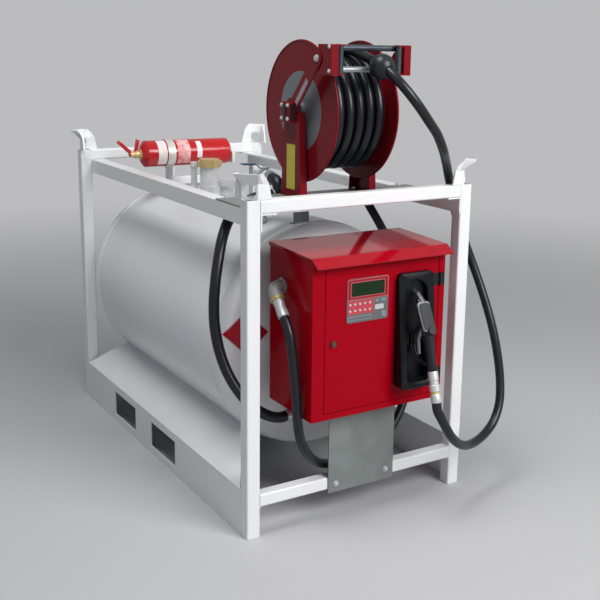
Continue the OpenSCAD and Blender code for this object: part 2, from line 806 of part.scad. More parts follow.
// Elbow on the cabinet's left side with its collar and the hose's ferrule
module outlet_elbow() {
    knee = elbow_knee;
    down = elbow_end - knee;
    color("silver") place() {
        translate(knee) cyl_x(hose_d / 2 + 1, -cab_w / 2 - knee[0]);
        translate([-cab_w / 2 - 12, knee[1], knee[2]]) cyl_x(hose_d / 2 + 14, 12);
        translate(knee) sphere(hose_d / 2 + 3);
        rod(knee, elbow_end, hose_d / 2 + 1);
        rod(knee + down * 0.42, knee + down * 0.62, hose_d / 2 + 6);
    }
}

module outlet_hose() {
    color("dimgray") place() hose(outlet_line, hose_d);
}

module delivery_hose() {
    color("dimgray") place() hose(delivery_line, hose_d);
}

// Hose reel
module stand_outline() {
    polygon([
        [reel_y - stand_foot / 2, deck_top], [reel_y + stand_foot / 2, deck_top],
        [reel_y + stand_top_r, reel_z], [reel_y - stand_top_r, reel_z]
    ]);
    translate([reel_y, reel_z]) circle(stand_top_r);
}

// Right-hand stand: a web with folded edges and a foot, and a hole for the shaft
module stand() {
    slope = (stand_foot / 2 - stand_top_r);
    difference() {
        plate_x(stand_x - stand_t, stand_t) stand_outline();
        translate([stand_x - stand_t - past, reel_y, reel_z]) cyl_x(shaft_r, stand_t + 2 * past);
    }
    for (s = [-1, 1]) plate_x(stand_x - stand_fold, stand_fold) polygon([
        [reel_y + s * stand_foot / 2, deck_top], [reel_y + s * (stand_foot / 2 - stand_t), deck_top],
        [reel_y + s * (stand_top_r - stand_t), reel_z], [reel_y + s * stand_top_r, reel_z]
    ]);
    translate([stand_x - stand_fold, reel_y - stand_foot / 2, deck_top])
        cube([stand_fold, stand_foot, stand_t]);
}

// Fixed shaft with the bearing block on the left and the inlet elbow on the right
module reel_shaft() {
    e = outlet_end;
    color("dimgray") place() {
        translate([-stand_x - 26, reel_y, reel_z]) cyl_x(shaft_r, stand_x + 26 + e[0]);
        difference() {
            union() {
                translate([-stand_x - 24, reel_y - 38, reel_z - 30]) cube([24 - arm_t, 76, 60]);
                translate([stand_x + arm_t, reel_y, reel_z]) cyl_x(30, 14);
            }
            translate([-stand_x - 60, reel_y, reel_z]) cyl_x(shaft_r - 1, 120);
        }
        translate(e + [0, reel_y - e[1], 0]) sphere(hose_d / 2 + 6);
        translate(e + [0, reel_y - e[1], 0]) cyl_y(hose_d / 2 + 3, e[1] - reel_y);
    }
}

// Drum: two dished flanges with rolled edges on a tube
module reel_drum() {
    color("brown") place() translate([0, reel_y, reel_z]) rotate([0, 90, 0]) {
        difference() {
            cylinder(r = core_r, h = drum_w - 2 * flange_t, center = true, $fn = 96);
            cylinder(r = core_r - 3, h = drum_w, center = true, $fn = 96);
        }
        for (s = [-1, 1]) translate([0, 0, s * (flange_x - flange_t / 2)]) {
            difference() {
                cylinder(r = flange_r, h = flange_t, center = true, $fn = 128);
                cylinder(r = flange_hole_r, h = 2 * flange_t, center = true, $fn = 96);
            }
            rotate_extrude($fn = 128) translate([flange_r, 0]) circle(flange_edge_r, $fn = 24);
        }
    }
}

// Galvanised end plates that close the drum and run on the shaft
module reel_hub_plates() {
    color("lightgray") place() translate([0, reel_y, reel_z]) rotate([0, 90, 0])
        for (s = [-1, 1]) translate([0, 0, s * flange_x]) difference() {
            union() {
                translate([0, 0, -s * (flange_t + 2)])
                    cylinder(r = core_r - 3, h = 4, center = true, $fn = 96);
                translate([0, 0, -s * flange_t / 2])
                    cylinder(r = flange_hole_r, h = flange_t, center = true, $fn = 96);
                translate([0, 0, s * 8]) cylinder(r = 40, h = 20, center = true);
            }
            cylinder(r = shaft_r + seat_gap, h = 60, center = true);
        }
}

// Turns of hose that rest on the core
module wound_hose() {
    color("dimgray") place()
        for (i = [0:turns - 1])
            translate([(i - (turns - 1) / 2) * turn_pitch, reel_y, reel_z])
                rotate([0, 90, 0]) rotate_extrude($fn = 96)
                    translate([turn_r, 0]) circle(hose_d / 2, $fn = 24);
}

// Guide arms, the two brackets with their folds, and the rollers' axles
module guide_side() {
    side = arm_w / 2 * 0.7;
    difference() {
        plate_x(stand_x, arm_t) {
            polygon([
                [reel_y - side, reel_z - side], [reel_y + side, reel_z + side],
                [arm_end_y + side, arm_end_z + side], [arm_end_y - side, arm_end_z - side]
            ]);
            translate([reel_y, reel_z]) circle(arm_w / 2);
            translate([arm_end_y, arm_end_z]) circle(arm_w / 2);
        }
        translate([0, reel_y, reel_z]) cyl_x(shaft_r, stand_x + 50);
    }
    translate([stand_x - arm_t, bracket_front, bracket_z0])
        cube([arm_t, arm_end_y - bracket_front, bracket_z1 - bracket_z0]);
    translate([stand_x - 30, bracket_front, bracket_z0]) cube([30, arm_t, bracket_z1 - bracket_z0]);
    for (z = [bracket_z0, bracket_z1 - arm_t])
        translate([side_roller_x - 12, bracket_front, z])
            cube([stand_x - side_roller_x + 12, side_roller_y - bracket_front + 12, arm_t]);
    translate([side_roller_x, side_roller_y, bracket_z0]) cylinder(r = axle_r, h = bracket_z1 - bracket_z0);
}

module guide_frame() {
    color("brown") place() {
        guide_side();
        mirror([1, 0, 0]) guide_side();
        for (z = [roller_top_z, roller_low_z])
            translate([-stand_x, roller_y, z]) cyl_x(axle_r, stand_span);
    }
}

module roller(length) {
    difference() {
        cylinder(r = roller_r, h = length, center = true);
        cylinder(r = axle_r + seat_gap, h = length + 2 * past, center = true);
    }
}

module side_roller(sx) {
    translate([sx * side_roller_x, side_roller_y, (bracket_z0 + bracket_z1) / 2])
        roller(bracket_z1 - bracket_z0 - 2 * arm_t - 2);
}

module stop_ball() {
    color("dimgray") place() translate([ball_x, ball_y, ball_z]) rotate([107, 0, 4])
        rotate_extrude() intersection() {
            circle(ball_r);
            translate([hose_d / 2, -ball_r]) square([ball_r, 2 * ball_r]);
        }
}

// Extinguisher
module extinguisher_outline() {
    dome = ext_r * (sqrt(2) - 1);
    straight = ext_l - 2 * dome;
    translate([0, -straight / 2]) square([ext_r, straight]);
    for (s = [-1, 1]) intersection() {
        translate([0, s * (straight / 2 - ext_r)]) circle(ext_r * sqrt(2));
        translate([0, -ext_l / 2]) square([ext_r, ext_l]);
    }
}

module extinguisher_cylinder() {
    color("red") place() translate([ext_x, ext_y, ext_z]) rotate([0, 90, 0])
        rotate_extrude() extinguisher_outline();
}

module extinguisher_valve() {
    x0 = ext_x - ext_l / 2;
    color("silver") place() translate([x0, ext_y, ext_z]) {
        translate([-44, 0, 0]) cyl_x(16, 44);
        translate([-30, 0, 0]) cylinder(r = 9, h = 34);
        translate([-106, -7, 26]) rotate([0, -8, 0]) cube([100, 14, 4]);
        translate([-110, -7, 46]) rotate([0, 4, 0]) cube([100, 14, 4]);
        translate([-36, -7, 10]) cube([20, 14, 40]);
    }
}

// Two saddles on the tank's top, a strap and the stop behind the cylinder's foot
module extinguisher_bracket() {
    color("dimgray") place() difference() {
        union() {
            for (x = [ext_x - 83, ext_x + 118])
                translate([x - 4, ext_y - 50, tank_top - 40]) cube([8, 100, ext_z - tank_top + 10]);
            translate([ext_x - 87, ext_y - 50, tank_top + 20]) cube([209, 5, 40]);
            translate([ext_x - 114, ext_y, ext_z]) cyl_x(ext_r + 2, 62);
        }
        translate([ext_x - ext_l, ext_y, ext_z]) cyl_x(ext_r, 2 * ext_l);
        translate([0, shell_front, tank_z]) cyl_y(tank_r, shell_l);
    }
}

// Single pieces from the forms above
module post_front_left() {
    color("white") place() post(-1, -1);
}

module post_front_right() {
    color("white") place() post(1, -1);
}

module post_rear_left() {
    color("white") place() post(-1, 1);
}

module post_rear_right() {
    color("white") place() post(1, 1);
}

module front_top_rail() {
    color("white") place() end_rail(-1, rail_z);
}

module rear_top_rail() {
    color("white") place() end_rail(1, rail_z);
}

module left_top_angle() {
    color("white") place() side_angle();
}

module right_top_angle() {
    color("white") place() mirror([1, 0, 0]) side_angle();
}

module front_bottom_rail() {
    color("white") place() end_rail(-1, bottom_rail_z);
}

module rear_bottom_rail() {
    color("white") place() end_rail(1, bottom_rail_z);
}

module left_skirt() {
    color("white") place() side_skirt();
}

module right_skirt() {
    color("white") place() mirror([1, 0, 0]) side_skirt();
}

module left_cradle() {
    color("white") place() side_cradle();
}

module right_cradle() {
    color("white") place() mirror([1, 0, 0]) side_cradle();
}

module lug_front_left() {
    color("white") place() corner_lug(-1, -1);
}

module lug_front_right() {
    color("white") place() corner_lug(1, -1);
}

module lug_rear_left() {
    color("white") place() corner_lug(-1, 1);
}

module lug_rear_right() {
    color("white") place() corner_lug(1, 1);
}

module reel_deck() {
    color("darkgray") place() translate([-inner_x, front_y + rail_w, deck_z])
        cube([2 * inner_x, deck_l, deck_t]);
}

module reel_stand_left() {
    color("brown") place() mirror([1, 0, 0]) stand();
}

module reel_stand_right() {
    color("brown") place() stand();
}

module top_roller() {
    color("silver") place() translate([0, roller_y, roller_top_z])
        rotate([0, 90, 0]) roller(2 * flange_x);
}

module lower_roller() {
    color("silver") place() translate([0, roller_y, roller_low_z])
        rotate([0, 90, 0]) roller(2 * flange_x);
}

module left_side_roller() {
    color("silver") place() side_roller(-1);
}

module right_side_roller() {
    color("silver") place() side_roller(1);
}

post_front_left();
post_front_right();
post_rear_left();
post_rear_right();
front_top_rail();
rear_top_rail();
left_top_angle();
right_top_angle();
front_bottom_rail();
rear_bottom_rail();
left_skirt();
right_skirt();
left_cradle();
right_cradle();
lug_front_left();
lug_front_right();
lug_rear_left();
lug_rear_right();
reel_deck();
tank_shell();
tank_front_end();
tank_rear_end();
filler_neck();
filler_cap();
vent_pipe();
dip_tube();
suction_valve();
valve_lever();
suction_hose();
suction_tail();
cabinet_body();
cabinet_roof();
cabinet_door();
door_hinges();
door_leaves();
door_lock();
keypad_panel();
nozzle_boot();
nozzle();
nozzle_swivel();
support_plate();
outlet_elbow();
outlet_hose();
reel_stand_left();
reel_stand_right();
reel_shaft();
reel_drum();
reel_hub_plates();
wound_hose();
guide_frame();
top_roller();
lower_roller();
left_side_roller();
right_side_roller();
stop_ball();
delivery_hose();
extinguisher_cylinder();
extinguisher_valve();
extinguisher_bracket();
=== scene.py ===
"""Portable fuel tank in a stacking frame, with a dispenser cabinet and a hose reel."""

import math

import bmesh
import bpy
from mathutils import Matrix, Vector
from mathutils.bvhtree import BVHTree


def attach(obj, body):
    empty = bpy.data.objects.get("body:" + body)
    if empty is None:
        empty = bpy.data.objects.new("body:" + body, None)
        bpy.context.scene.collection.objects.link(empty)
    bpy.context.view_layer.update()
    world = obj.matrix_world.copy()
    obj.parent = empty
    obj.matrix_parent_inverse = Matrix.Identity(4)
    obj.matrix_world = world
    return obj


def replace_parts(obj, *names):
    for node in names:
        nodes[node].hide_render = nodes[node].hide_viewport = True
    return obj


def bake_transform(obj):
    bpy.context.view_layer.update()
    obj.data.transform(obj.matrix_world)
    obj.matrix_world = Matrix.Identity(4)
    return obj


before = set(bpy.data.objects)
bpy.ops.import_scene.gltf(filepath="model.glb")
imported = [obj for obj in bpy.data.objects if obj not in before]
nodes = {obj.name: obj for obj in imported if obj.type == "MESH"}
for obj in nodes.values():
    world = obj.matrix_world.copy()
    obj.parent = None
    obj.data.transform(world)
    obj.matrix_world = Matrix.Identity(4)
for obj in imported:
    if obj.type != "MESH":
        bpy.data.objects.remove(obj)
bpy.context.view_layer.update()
scene = bpy.context.scene
scene.view_settings.view_transform = "Standard"


# Camera
# A long lens sees the machine from the front left and a little from above, so that the cabinet's front,
# the tank's dished end and the whole hose reel show.
frame_shift = 0.1212


def at(x, y, z):
    """A place in the model's metres, given in millimetres from the middle of the four posts' feet."""
    return Vector((x / 1000, y / 1000 + frame_shift, z / 1000))


eye = at(-2042, -3867, 1807)
look = Vector((0.529, 0.820, -0.2185)).normalized()
side = Vector((0.8425, -0.5383, 0.0193))
side = (side - side.dot(look) * look).normalized()
camera_turn = Matrix((side, side.cross(look), -look)).transposed().to_4x4()
camera_data = bpy.data.cameras.new("camera")
camera_data.lens = 59.12
camera_data.sensor_width = 36
camera_data.shift_x = -0.062
camera_data.shift_y = -0.063
camera = bpy.data.objects.new("camera", camera_data)
scene.collection.objects.link(camera)
camera.matrix_world = Matrix.Translation(eye) @ camera_turn
scene.camera = camera


# Hoses
# Black rubber fuel hoses on smooth curves: suction from the tank's valve to the cabinet's floor, outlet
# from the cabinet up to the reel, and delivery off the reel through the roller guide to the nozzle.
def uneven_finish():
    """Every coat varies a little: a coarse cloud shifts its colour, and a fine one its gloss and surface."""
    group = bpy.data.node_groups.new("uneven_finish", "ShaderNodeTree")
    socket = group.interface.new_socket
    socket("Place", in_out="INPUT", socket_type="NodeSocketVector")
    socket("Main", in_out="INPUT", socket_type="NodeSocketColor")
    socket("Second", in_out="INPUT", socket_type="NodeSocketColor")
    for name, value in (("Cloud", 4.0), ("Fine", 90.0), ("Gloss", 0.3), ("Spread", 0.1)):
        socket(name, in_out="INPUT", socket_type="NodeSocketFloat").default_value = value
    socket("Color", in_out="OUTPUT", socket_type="NodeSocketColor")
    socket("Roughness", in_out="OUTPUT", socket_type="NodeSocketFloat")
    socket("Height", in_out="OUTPUT", socket_type="NodeSocketFloat")
    add, link = group.nodes.new, group.links.new
    put_in, put_out = add("NodeGroupInput"), add("NodeGroupOutput")
    cloud, fine = add("ShaderNodeTexNoise"), add("ShaderNodeTexNoise")
    cloud.inputs["Detail"].default_value = 3
    fine.inputs["Detail"].default_value = 5
    for noise, scale in ((cloud, "Cloud"), (fine, "Fine")):
        link(put_in.outputs["Place"], noise.inputs["Vector"])
        link(put_in.outputs[scale], noise.inputs["Scale"])
    ramp = add("ShaderNodeMapRange")
    ramp.inputs["From Min"].default_value = 0.35
    ramp.inputs["From Max"].default_value = 0.68
    link(cloud.outputs["Fac"], ramp.inputs["Value"])
    mix = add("ShaderNodeMix")
    mix.data_type = "RGBA"
    link(ramp.outputs["Result"], mix.inputs["Factor"])
    link(put_in.outputs["Main"], mix.inputs["A"])
    link(put_in.outputs["Second"], mix.inputs["B"])
    centred, scaled, total = add("ShaderNodeMath"), add("ShaderNodeMath"), add("ShaderNodeMath")
    centred.operation, scaled.operation, total.operation = "SUBTRACT", "MULTIPLY", "ADD"
    centred.inputs[1].default_value = 0.5
    link(fine.outputs["Fac"], centred.inputs[0])
    link(centred.outputs[0], scaled.inputs[0])
    link(put_in.outputs["Spread"], scaled.inputs[1])
    link(scaled.outputs[0], total.inputs[0])
    link(put_in.outputs["Gloss"], total.inputs[1])
    link(mix.outputs["Result"], put_out.inputs["Color"])
    link(total.outputs[0], put_out.inputs["Roughness"])
    link(fine.outputs["Fac"], put_out.inputs["Height"])
    return group


uneven = uneven_finish()


def finish_of(name, main, second, gloss, spread=0.1, cloud=4.0, fine=90.0, metal=0.0, coat=0.0, bump=0.0002,
              gleam=0.5):
    """A finish between two colours. Gloss is its roughness, spread how far that varies, and cloud and fine
    are the patterns' scales. A bump is its depth in metres, and gleam the strength of its reflections."""
    material = bpy.data.materials.new(name)
    material.use_nodes = True
    tree = material.node_tree
    shader = tree.nodes["Principled BSDF"]
    place = tree.nodes.new("ShaderNodeTexCoord")
    effect = tree.nodes.new("ShaderNodeGroup")
    effect.node_tree = uneven
    tree.links.new(place.outputs["Object"], effect.inputs["Place"])
    effect.inputs["Main"].default_value = (*main, 1)
    effect.inputs["Second"].default_value = (*second, 1)
    for key, value in (("Cloud", cloud), ("Fine", fine), ("Gloss", gloss), ("Spread", spread)):
        effect.inputs[key].default_value = value
    tree.links.new(effect.outputs["Color"], shader.inputs["Base Color"])
    tree.links.new(effect.outputs["Roughness"], shader.inputs["Roughness"])
    if bump:
        relief = tree.nodes.new("ShaderNodeBump")
        relief.inputs["Distance"].default_value = bump
        relief.inputs["Strength"].default_value = 0.5
        tree.links.new(effect.outputs["Height"], relief.inputs["Height"])
        tree.links.new(relief.outputs["Normal"], shader.inputs["Normal"])
    shader.inputs["Metallic"].default_value = metal
    shader.inputs["Specular IOR Level"].default_value = gleam
    shader.inputs["Coat Weight"].default_value = coat
    shader.inputs["Coat Roughness"].default_value = 0.18
    return material


def dress(material, *names):
    """Gives the named parts of the model one finish."""
    for name in names:
        nodes[name].data.materials.clear()
        nodes[name].data.materials.append(material)


def piece(name, bm, material, body, smooth=35):
    """A finished bmesh as a named object that rides on a body, if one is given."""
    mesh = bpy.data.meshes.new(name)
    bm.to_mesh(mesh)
    bm.free()
    mesh.materials.append(material)
    made = bpy.data.objects.new(name, mesh)
    scene.collection.objects.link(made)
    mesh.polygons.foreach_set("use_smooth", [True] * len(mesh.polygons))
    mesh.set_sharp_from_angle(angle=math.radians(smooth))
    if body:
        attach(made, body)
    return made


def smooth_line(route, steps=5):
    """The route's points in metres with a smooth curve through them."""
    points = [at(*p) for p in route]
    ends = [2 * points[0] - points[1]] + points + [2 * points[-1] - points[-2]]
    line = []
    for a, b, c, d in zip(ends, ends[1:], ends[2:], ends[3:]):
        for step in range(steps):
            t = step / steps
            line.append(0.5 * (2 * b + (c - a) * t + (2 * a - 5 * b + 4 * c - d) * t * t
                               + (3 * b - a - 3 * c + d) * t ** 3))
    return line + [points[-1]]


def stretch(bm, loops):
    """A closed skin stretched over a row of edge loops."""
    for one, other in zip(loops, loops[1:]):
        bmesh.ops.bridge_loops(bm, edges=one + other)
    for end in (loops[0], loops[-1]):
        bmesh.ops.edgeloop_fill(bm, edges=end)
    bmesh.ops.recalc_face_normals(bm, faces=bm.faces)


def edges_of(verts):
    return list({edge for vert in verts for edge in vert.link_edges})


def skin(bm, rings, sides):
    """A closed skin over a row of rings, each a circle of radius 1 under its own matrix."""
    circles = [bmesh.ops.create_circle(bm, segments=sides, radius=1, matrix=place) for place in rings]
    stretch(bm, [edges_of(circle["verts"]) for circle in circles])


def bent_tube(bm, line, radii, sides=20):
    """A tube along a line: a circle of each point's radius carried and turned from point to point."""
    rings = []
    across = Vector((0.31, 0.52, 0.8))
    for i, centre in enumerate(line):
        along = (line[min(i + 1, len(line) - 1)] - line[max(i - 1, 0)]).normalized()
        across = (across - across.dot(along) * along).normalized()
        turn = Matrix((across, along.cross(across), along)).transposed().to_4x4()
        rings.append(Matrix.Translation(centre) @ turn @ Matrix.Diagonal((radii[i], radii[i], 1, 1)))
    skin(bm, rings, sides)


def hose(name, line, diameter, body="frame"):
    bm = bmesh.new()
    bent_tube(bm, line, [diameter / 2] * len(line), 16)
    return piece(name, bm, hose_black, body, 60)


hose_black = finish_of("hose_black", (0.006, 0.008, 0.011), (0.010, 0.012, 0.016), 0.3, 0.08, 6, 140,
                       bump=0.0001, gleam=0.35)
cuff_rubber = finish_of("cuff_rubber", (0.008, 0.011, 0.016), (0.012, 0.015, 0.02), 0.34, 0.1, 9, 60,
                        gleam=0.35)
suction_d = 0.042
fuel_d = 0.036
suction_route = [
    (-185, -500, 1212), (-212, -500, 1212), (-270, -500, 1204), (-328, -506, 1179), (-380, -524, 1137),
    (-423, -553, 1075), (-455, -582, 1000), (-477, -600, 918), (-488, -609, 832), (-490, -620, 745),
    (-482, -640, 660), (-464, -668, 580), (-432, -702, 506), (-386, -734, 446), (-336, -754, 410),
    (-292, -762, 396), (-262, -762, 396),
]
outlet_route = [
    (-340, -873, 841), (-340, -895.4, 817.5), (-338, -920, 772), (-333, -934, 695), (-328, -943, 610),
    (-323, -948, 525), (-315, -945, 440), (-290, -928, 358), (-243, -902, 284), (-176, -866, 225),
    (-95, -833, 190), (0, -813, 176), (92, -807, 188), (175, -802, 229), (248, -792, 296),
    (304, -770, 380), (341, -736, 472), (359, -704, 570), (364, -682, 675), (362, -665, 780),
    (350, -643, 882), (330, -602, 978), (303, -550, 1070), (272, -496, 1160), (243, -456, 1252),
    (222, -427, 1340), (213, -416, 1405), (209, -432, 1465), (208, -470, 1516), (208, -522, 1544),
    (208, -546, 1547), (208, -565, 1547),
]
delivery_route = [
    (22, -630, 1781), (23, -710, 1777), (25, -790, 1764), (32, -923, 1725), (41, -980, 1694),
    (68, -1022, 1647), (115, -1040, 1588), (172, -1028, 1532), (235, -1000, 1480), (298, -958, 1420),
    (341, -918, 1386), (382, -880, 1349), (416, -848, 1313), (449, -820, 1274), (485, -800, 1204),
    (510, -796, 1128), (546, -797, 1046), (580, -812, 955), (603, -845, 860), (617, -885, 765),
    (625, -925, 668), (630, -958, 565), (628, -985, 465), (610, -1010, 376), (568, -1030, 308),
    (505, -1050, 270), (432, -1075, 258), (358, -1106, 270), (290, -1140, 304), (232, -1166, 352),
    (190, -1180, 405), (162, -1182, 450), (150, -1175.9, 477.1), (150, -1168.1, 505.5),
]
suction_line, outlet_line, delivery_line = map(smooth_line, (suction_route, outlet_route, delivery_route))
suction = hose("suction_rubber", suction_line, suction_d)
outlet = hose("outlet_rubber", outlet_line, fuel_d)
delivery = hose("delivery_rubber", delivery_line, fuel_d, None)
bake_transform(delivery)
for rubber, node, line, diameter in ((suction, "suction_hose", suction_line, suction_d),
                                     (outlet, "outlet_hose", outlet_line, fuel_d),
                                     (delivery, "delivery_hose", delivery_line, fuel_d)):
    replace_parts(rubber, node)
dress(hose_black, "wound_hose")
dress(cuff_rubber, "stop_ball")


# Floor and light
# Plain pale floor that runs into a backdrop of one grey, with a large soft key lamp in front and a weaker
# lamp overhead. The camera and reflections see the backdrop, and the world's faint blue fills the shade.
backdrop_grey = (0.50, 0.50, 0.51)
floor_half = 30
floor_drop = 0.001
fade_start, fade_end = 1.2, 7.5


def shows_backdrop(tree):
    """One for the camera's own rays and those off metal or through glass, nought for the rest."""
    add, link = tree.nodes.new, tree.links.new
    path, first, both = add("ShaderNodeLightPath"), add("ShaderNodeMath"), add("ShaderNodeMath")
    first.operation = both.operation = "MAXIMUM"
    link(path.outputs["Is Camera Ray"], first.inputs[0])
    link(path.outputs["Is Glossy Ray"], first.inputs[1])
    link(first.outputs[0], both.inputs[0])
    link(path.outputs["Is Transmission Ray"], both.inputs[1])
    return both.outputs[0]


def floor_finish():
    """Matt grey near the machine, which fades into the backdrop's plain grey further out."""
    material = bpy.data.materials.new("floor")
    material.use_nodes = True
    tree = material.node_tree
    add, link = tree.nodes.new, tree.links.new
    shader = tree.nodes["Principled BSDF"]
    shader.inputs["Base Color"].default_value = (*backdrop_grey, 1)
    shader.inputs["Roughness"].default_value = 0.8
    place, far, away = add("ShaderNodeTexCoord"), add("ShaderNodeVectorMath"), add("ShaderNodeMapRange")
    far.operation = "LENGTH"
    away.interpolation_type = "SMOOTHSTEP"
    away.inputs["From Min"].default_value = fade_start
    away.inputs["From Max"].default_value = fade_end
    both = add("ShaderNodeMath")
    both.operation = "MULTIPLY"
    glow, either = add("ShaderNodeEmission"), add("ShaderNodeMixShader")
    glow.inputs["Color"].default_value = (*backdrop_grey, 1)
    link(place.outputs["Object"], far.inputs[0])
    link(far.outputs["Value"], away.inputs["Value"])
    link(away.outputs["Result"], both.inputs[0])
    link(shows_backdrop(tree), both.inputs[1])
    link(both.outputs[0], either.inputs["Fac"])
    link(shader.outputs["BSDF"], either.inputs[1])
    link(glow.outputs["Emission"], either.inputs[2])
    link(either.outputs["Shader"], tree.nodes["Material Output"].inputs["Surface"])
    return material


floor_plane = bmesh.new()
bmesh.ops.create_grid(floor_plane, x_segments=1, y_segments=1, size=floor_half)
bmesh.ops.translate(floor_plane, verts=floor_plane.verts, vec=(0, 0, -floor_drop))
floor_mesh = bpy.data.meshes.new("floor")
floor_plane.to_mesh(floor_mesh)
floor_plane.free()
floor_mesh.materials.append(floor_finish())
floor = bpy.data.objects.new("floor", floor_mesh)
scene.collection.objects.link(floor)


def lamp(name, place, size, energy):
    """A round soft lamp that points at the middle of the machine."""
    data = bpy.data.lights.new(name, "AREA")
    data.shape = "DISK"
    data.size = size
    data.energy = energy
    made = bpy.data.objects.new(name, data)
    scene.collection.objects.link(made)
    made.location = place
    made.rotation_euler = (machine_middle - Vector(place)).to_track_quat("-Z", "Y").to_euler()


machine_middle = Vector((0, 0, 0.8))
lamp("key", (1.5, -5.5, 4.1), 3.6, 375)
lamp("overhead", (-1.5, -1.0, 5.6), 2.4, 150)
world = bpy.data.worlds.new("world")
scene.world = world
world.use_nodes = True
sky = world.node_tree
surround = sky.nodes["Background"]
surround.inputs["Color"].default_value = (0.54, 0.60, 0.70, 1)
surround.inputs["Strength"].default_value = 0.18
backdrop, either = sky.nodes.new("ShaderNodeBackground"), sky.nodes.new("ShaderNodeMixShader")
backdrop.inputs["Color"].default_value = (*backdrop_grey, 1)
sky.links.new(shows_backdrop(sky), either.inputs["Fac"])
sky.links.new(surround.outputs["Background"], either.inputs[1])
sky.links.new(backdrop.outputs["Background"], either.inputs[2])
sky.links.new(either.outputs["Shader"], sky.nodes["World Output"].inputs["Surface"])


# Frame, skirts, lugs and tank
# Welded square tube, angle and sheet round a tank of rolled plate with dished ends, all under one white
# coat: satin on the tubes and sheets, glossier on the tank.
white_coat = finish_of("white_coat", (0.83, 0.83, 0.83), (0.79, 0.80, 0.81), 0.36, 0.1, 3, 60, coat=0.1)
tank_coat = finish_of("tank_coat", (0.82, 0.83, 0.84), (0.79, 0.81, 0.82), 0.3, 0.03, 2, 12, coat=0.1, bump=0)
dress(white_coat, "post_front_left", "post_front_right", "post_rear_left", "post_rear_right",
      "front_top_rail",
      "rear_top_rail", "left_top_angle", "right_top_angle", "front_bottom_rail", "rear_bottom_rail",
      "left_skirt", "right_skirt", "left_cradle", "right_cradle", "lug_front_left", "lug_front_right",
      "lug_rear_left", "lug_rear_right", "vent_pipe")
dress(tank_coat, "tank_shell", "tank_front_end", "tank_rear_end")


# Welds
# Fillet beads under the white coat: where rails and skirts meet the posts, along the cradles' lower and
# upper edges, and round the tank beside its two seams.
rail_end, rail_inner, rail_outer = 444, 850, 899
rail_edges = (119, 169, 1218, 1268)
skirt_face, skirt_end, skirt_top = 498, 845, 180
cradle_foot, cradle_foot_z, cradle_half = 497.5, 182.5, 843
cradle_head, cradle_head_z = 331, 303
tank_r, tank_z = 465, 631
tank_welds = (-515, 750)
ring_bead = 0.004


def bead(bm, start, end, radius):
    """A straight round bar or bead between two places."""
    along = end - start
    turn = along.to_track_quat("Z", "Y").to_matrix().to_4x4()
    bmesh.ops.create_cone(bm, cap_ends=True, segments=10, radius1=radius, radius2=radius, depth=along.length,
                          matrix=Matrix.Translation((start + end) / 2) @ turn)


welds = bmesh.new()
for x in (-1, 1):
    for y in (-1, 1):
        for z in rail_edges:
            bead(welds, at(x * rail_end, y * rail_inner, z), at(x * rail_end, y * rail_outer, z), 0.0025)
        bead(welds, at(x * skirt_face, y * skirt_end, 2), at(x * skirt_face, y * skirt_end, skirt_top), 0.002)
    bead(welds, at(x * cradle_foot, -cradle_half, cradle_foot_z),
         at(x * cradle_foot, cradle_half, cradle_foot_z),
         0.0025)
    bead(welds, at(x * cradle_head, -510, cradle_head_z), at(x * cradle_head, 745, cradle_head_z), 0.003)
for y in tank_welds:
    rim = bmesh.ops.create_circle(welds, segments=10, radius=ring_bead,
                                  matrix=Matrix.Translation(at(tank_r, y, tank_z)))["verts"]
    bmesh.ops.spin(welds, geom=rim + edges_of(rim), cent=at(0, y, tank_z), axis=(0, 1, 0), angle=2 * math.pi,
                   steps=96, use_merge=True)
bmesh.ops.recalc_face_normals(welds, faces=welds.faces)
piece("weld_beads", welds, white_coat, "frame", 60)


# Placard
# Bare diamond of red film with a pale edge, stuck on the tank's front end, so that both layers follow
# the dish.
placard_x, placard_z = -357, 702
before_dish = -900
film = 0.0006
sign_red = finish_of("sign_red", (0.42, 0.002, 0.016), (0.38, 0.002, 0.014), 0.3, 0.05, 20, 90, gleam=0.3)
sign_edge = finish_of("sign_edge", (0.62, 0.58, 0.58), (0.55, 0.52, 0.52), 0.4, 0.08, 20, 90)
dish = nodes["tank_front_end"].data
dish_surface = BVHTree.FromPolygons([v.co for v in dish.vertices], [f.vertices for f in dish.polygons])


def diamond(name, half, lift, material):
    """A square of film on its corner, each point laid back onto the dish and lifted off it."""
    bm = bmesh.new()
    turn = Matrix.Rotation(math.radians(45), 4, "Y") @ Matrix.Rotation(math.radians(90), 4, "X")
    bmesh.ops.create_grid(bm, x_segments=18, y_segments=18, size=half,
                          matrix=Matrix.Translation(at(placard_x, before_dish, placard_z)) @ turn)
    for v in bm.verts:
        v.co.y = dish_surface.ray_cast(v.co, Vector((0, 1, 0)))[0].y - lift
    bmesh.ops.solidify(bm, geom=bm.faces[:], thickness=film)
    bmesh.ops.recalc_face_normals(bm, faces=bm.faces)
    piece(name, bm, material, "frame")


diamond("placard_edge", 0.064, 0.0004, sign_edge)
diamond("placard_face", 0.060, 0.0012, sign_red)


# Front bracket
# Small zinc-plated steel angle welded on top of the shell behind its front seam, with one leg on the
# plate and the other upright.
bracket_left, bracket_right = -85, -15
bracket_front, bracket_foot, bracket_t = -508, 1086, 6
bracket_h, bracket_leg = 51, 38


def round_edges(bm, edges, radius, steps):
    bmesh.ops.bevel(bm, geom=edges, offset=radius, segments=steps, profile=0.5, affect="EDGES", material=-1)


def block(bm, low, high, round_off):
    """A box between two corners in millimetres, with its edges rounded off."""
    middle = (Vector(low) + Vector(high)) / 2
    size = (Vector(high) - Vector(low)) / 1000
    made = bmesh.ops.create_cube(bm, size=1, matrix=Matrix.Translation(at(*middle))
                                 @ Matrix.Diagonal((*size, 1)))
    round_edges(bm, edges_of(made["verts"]), round_off, 3)


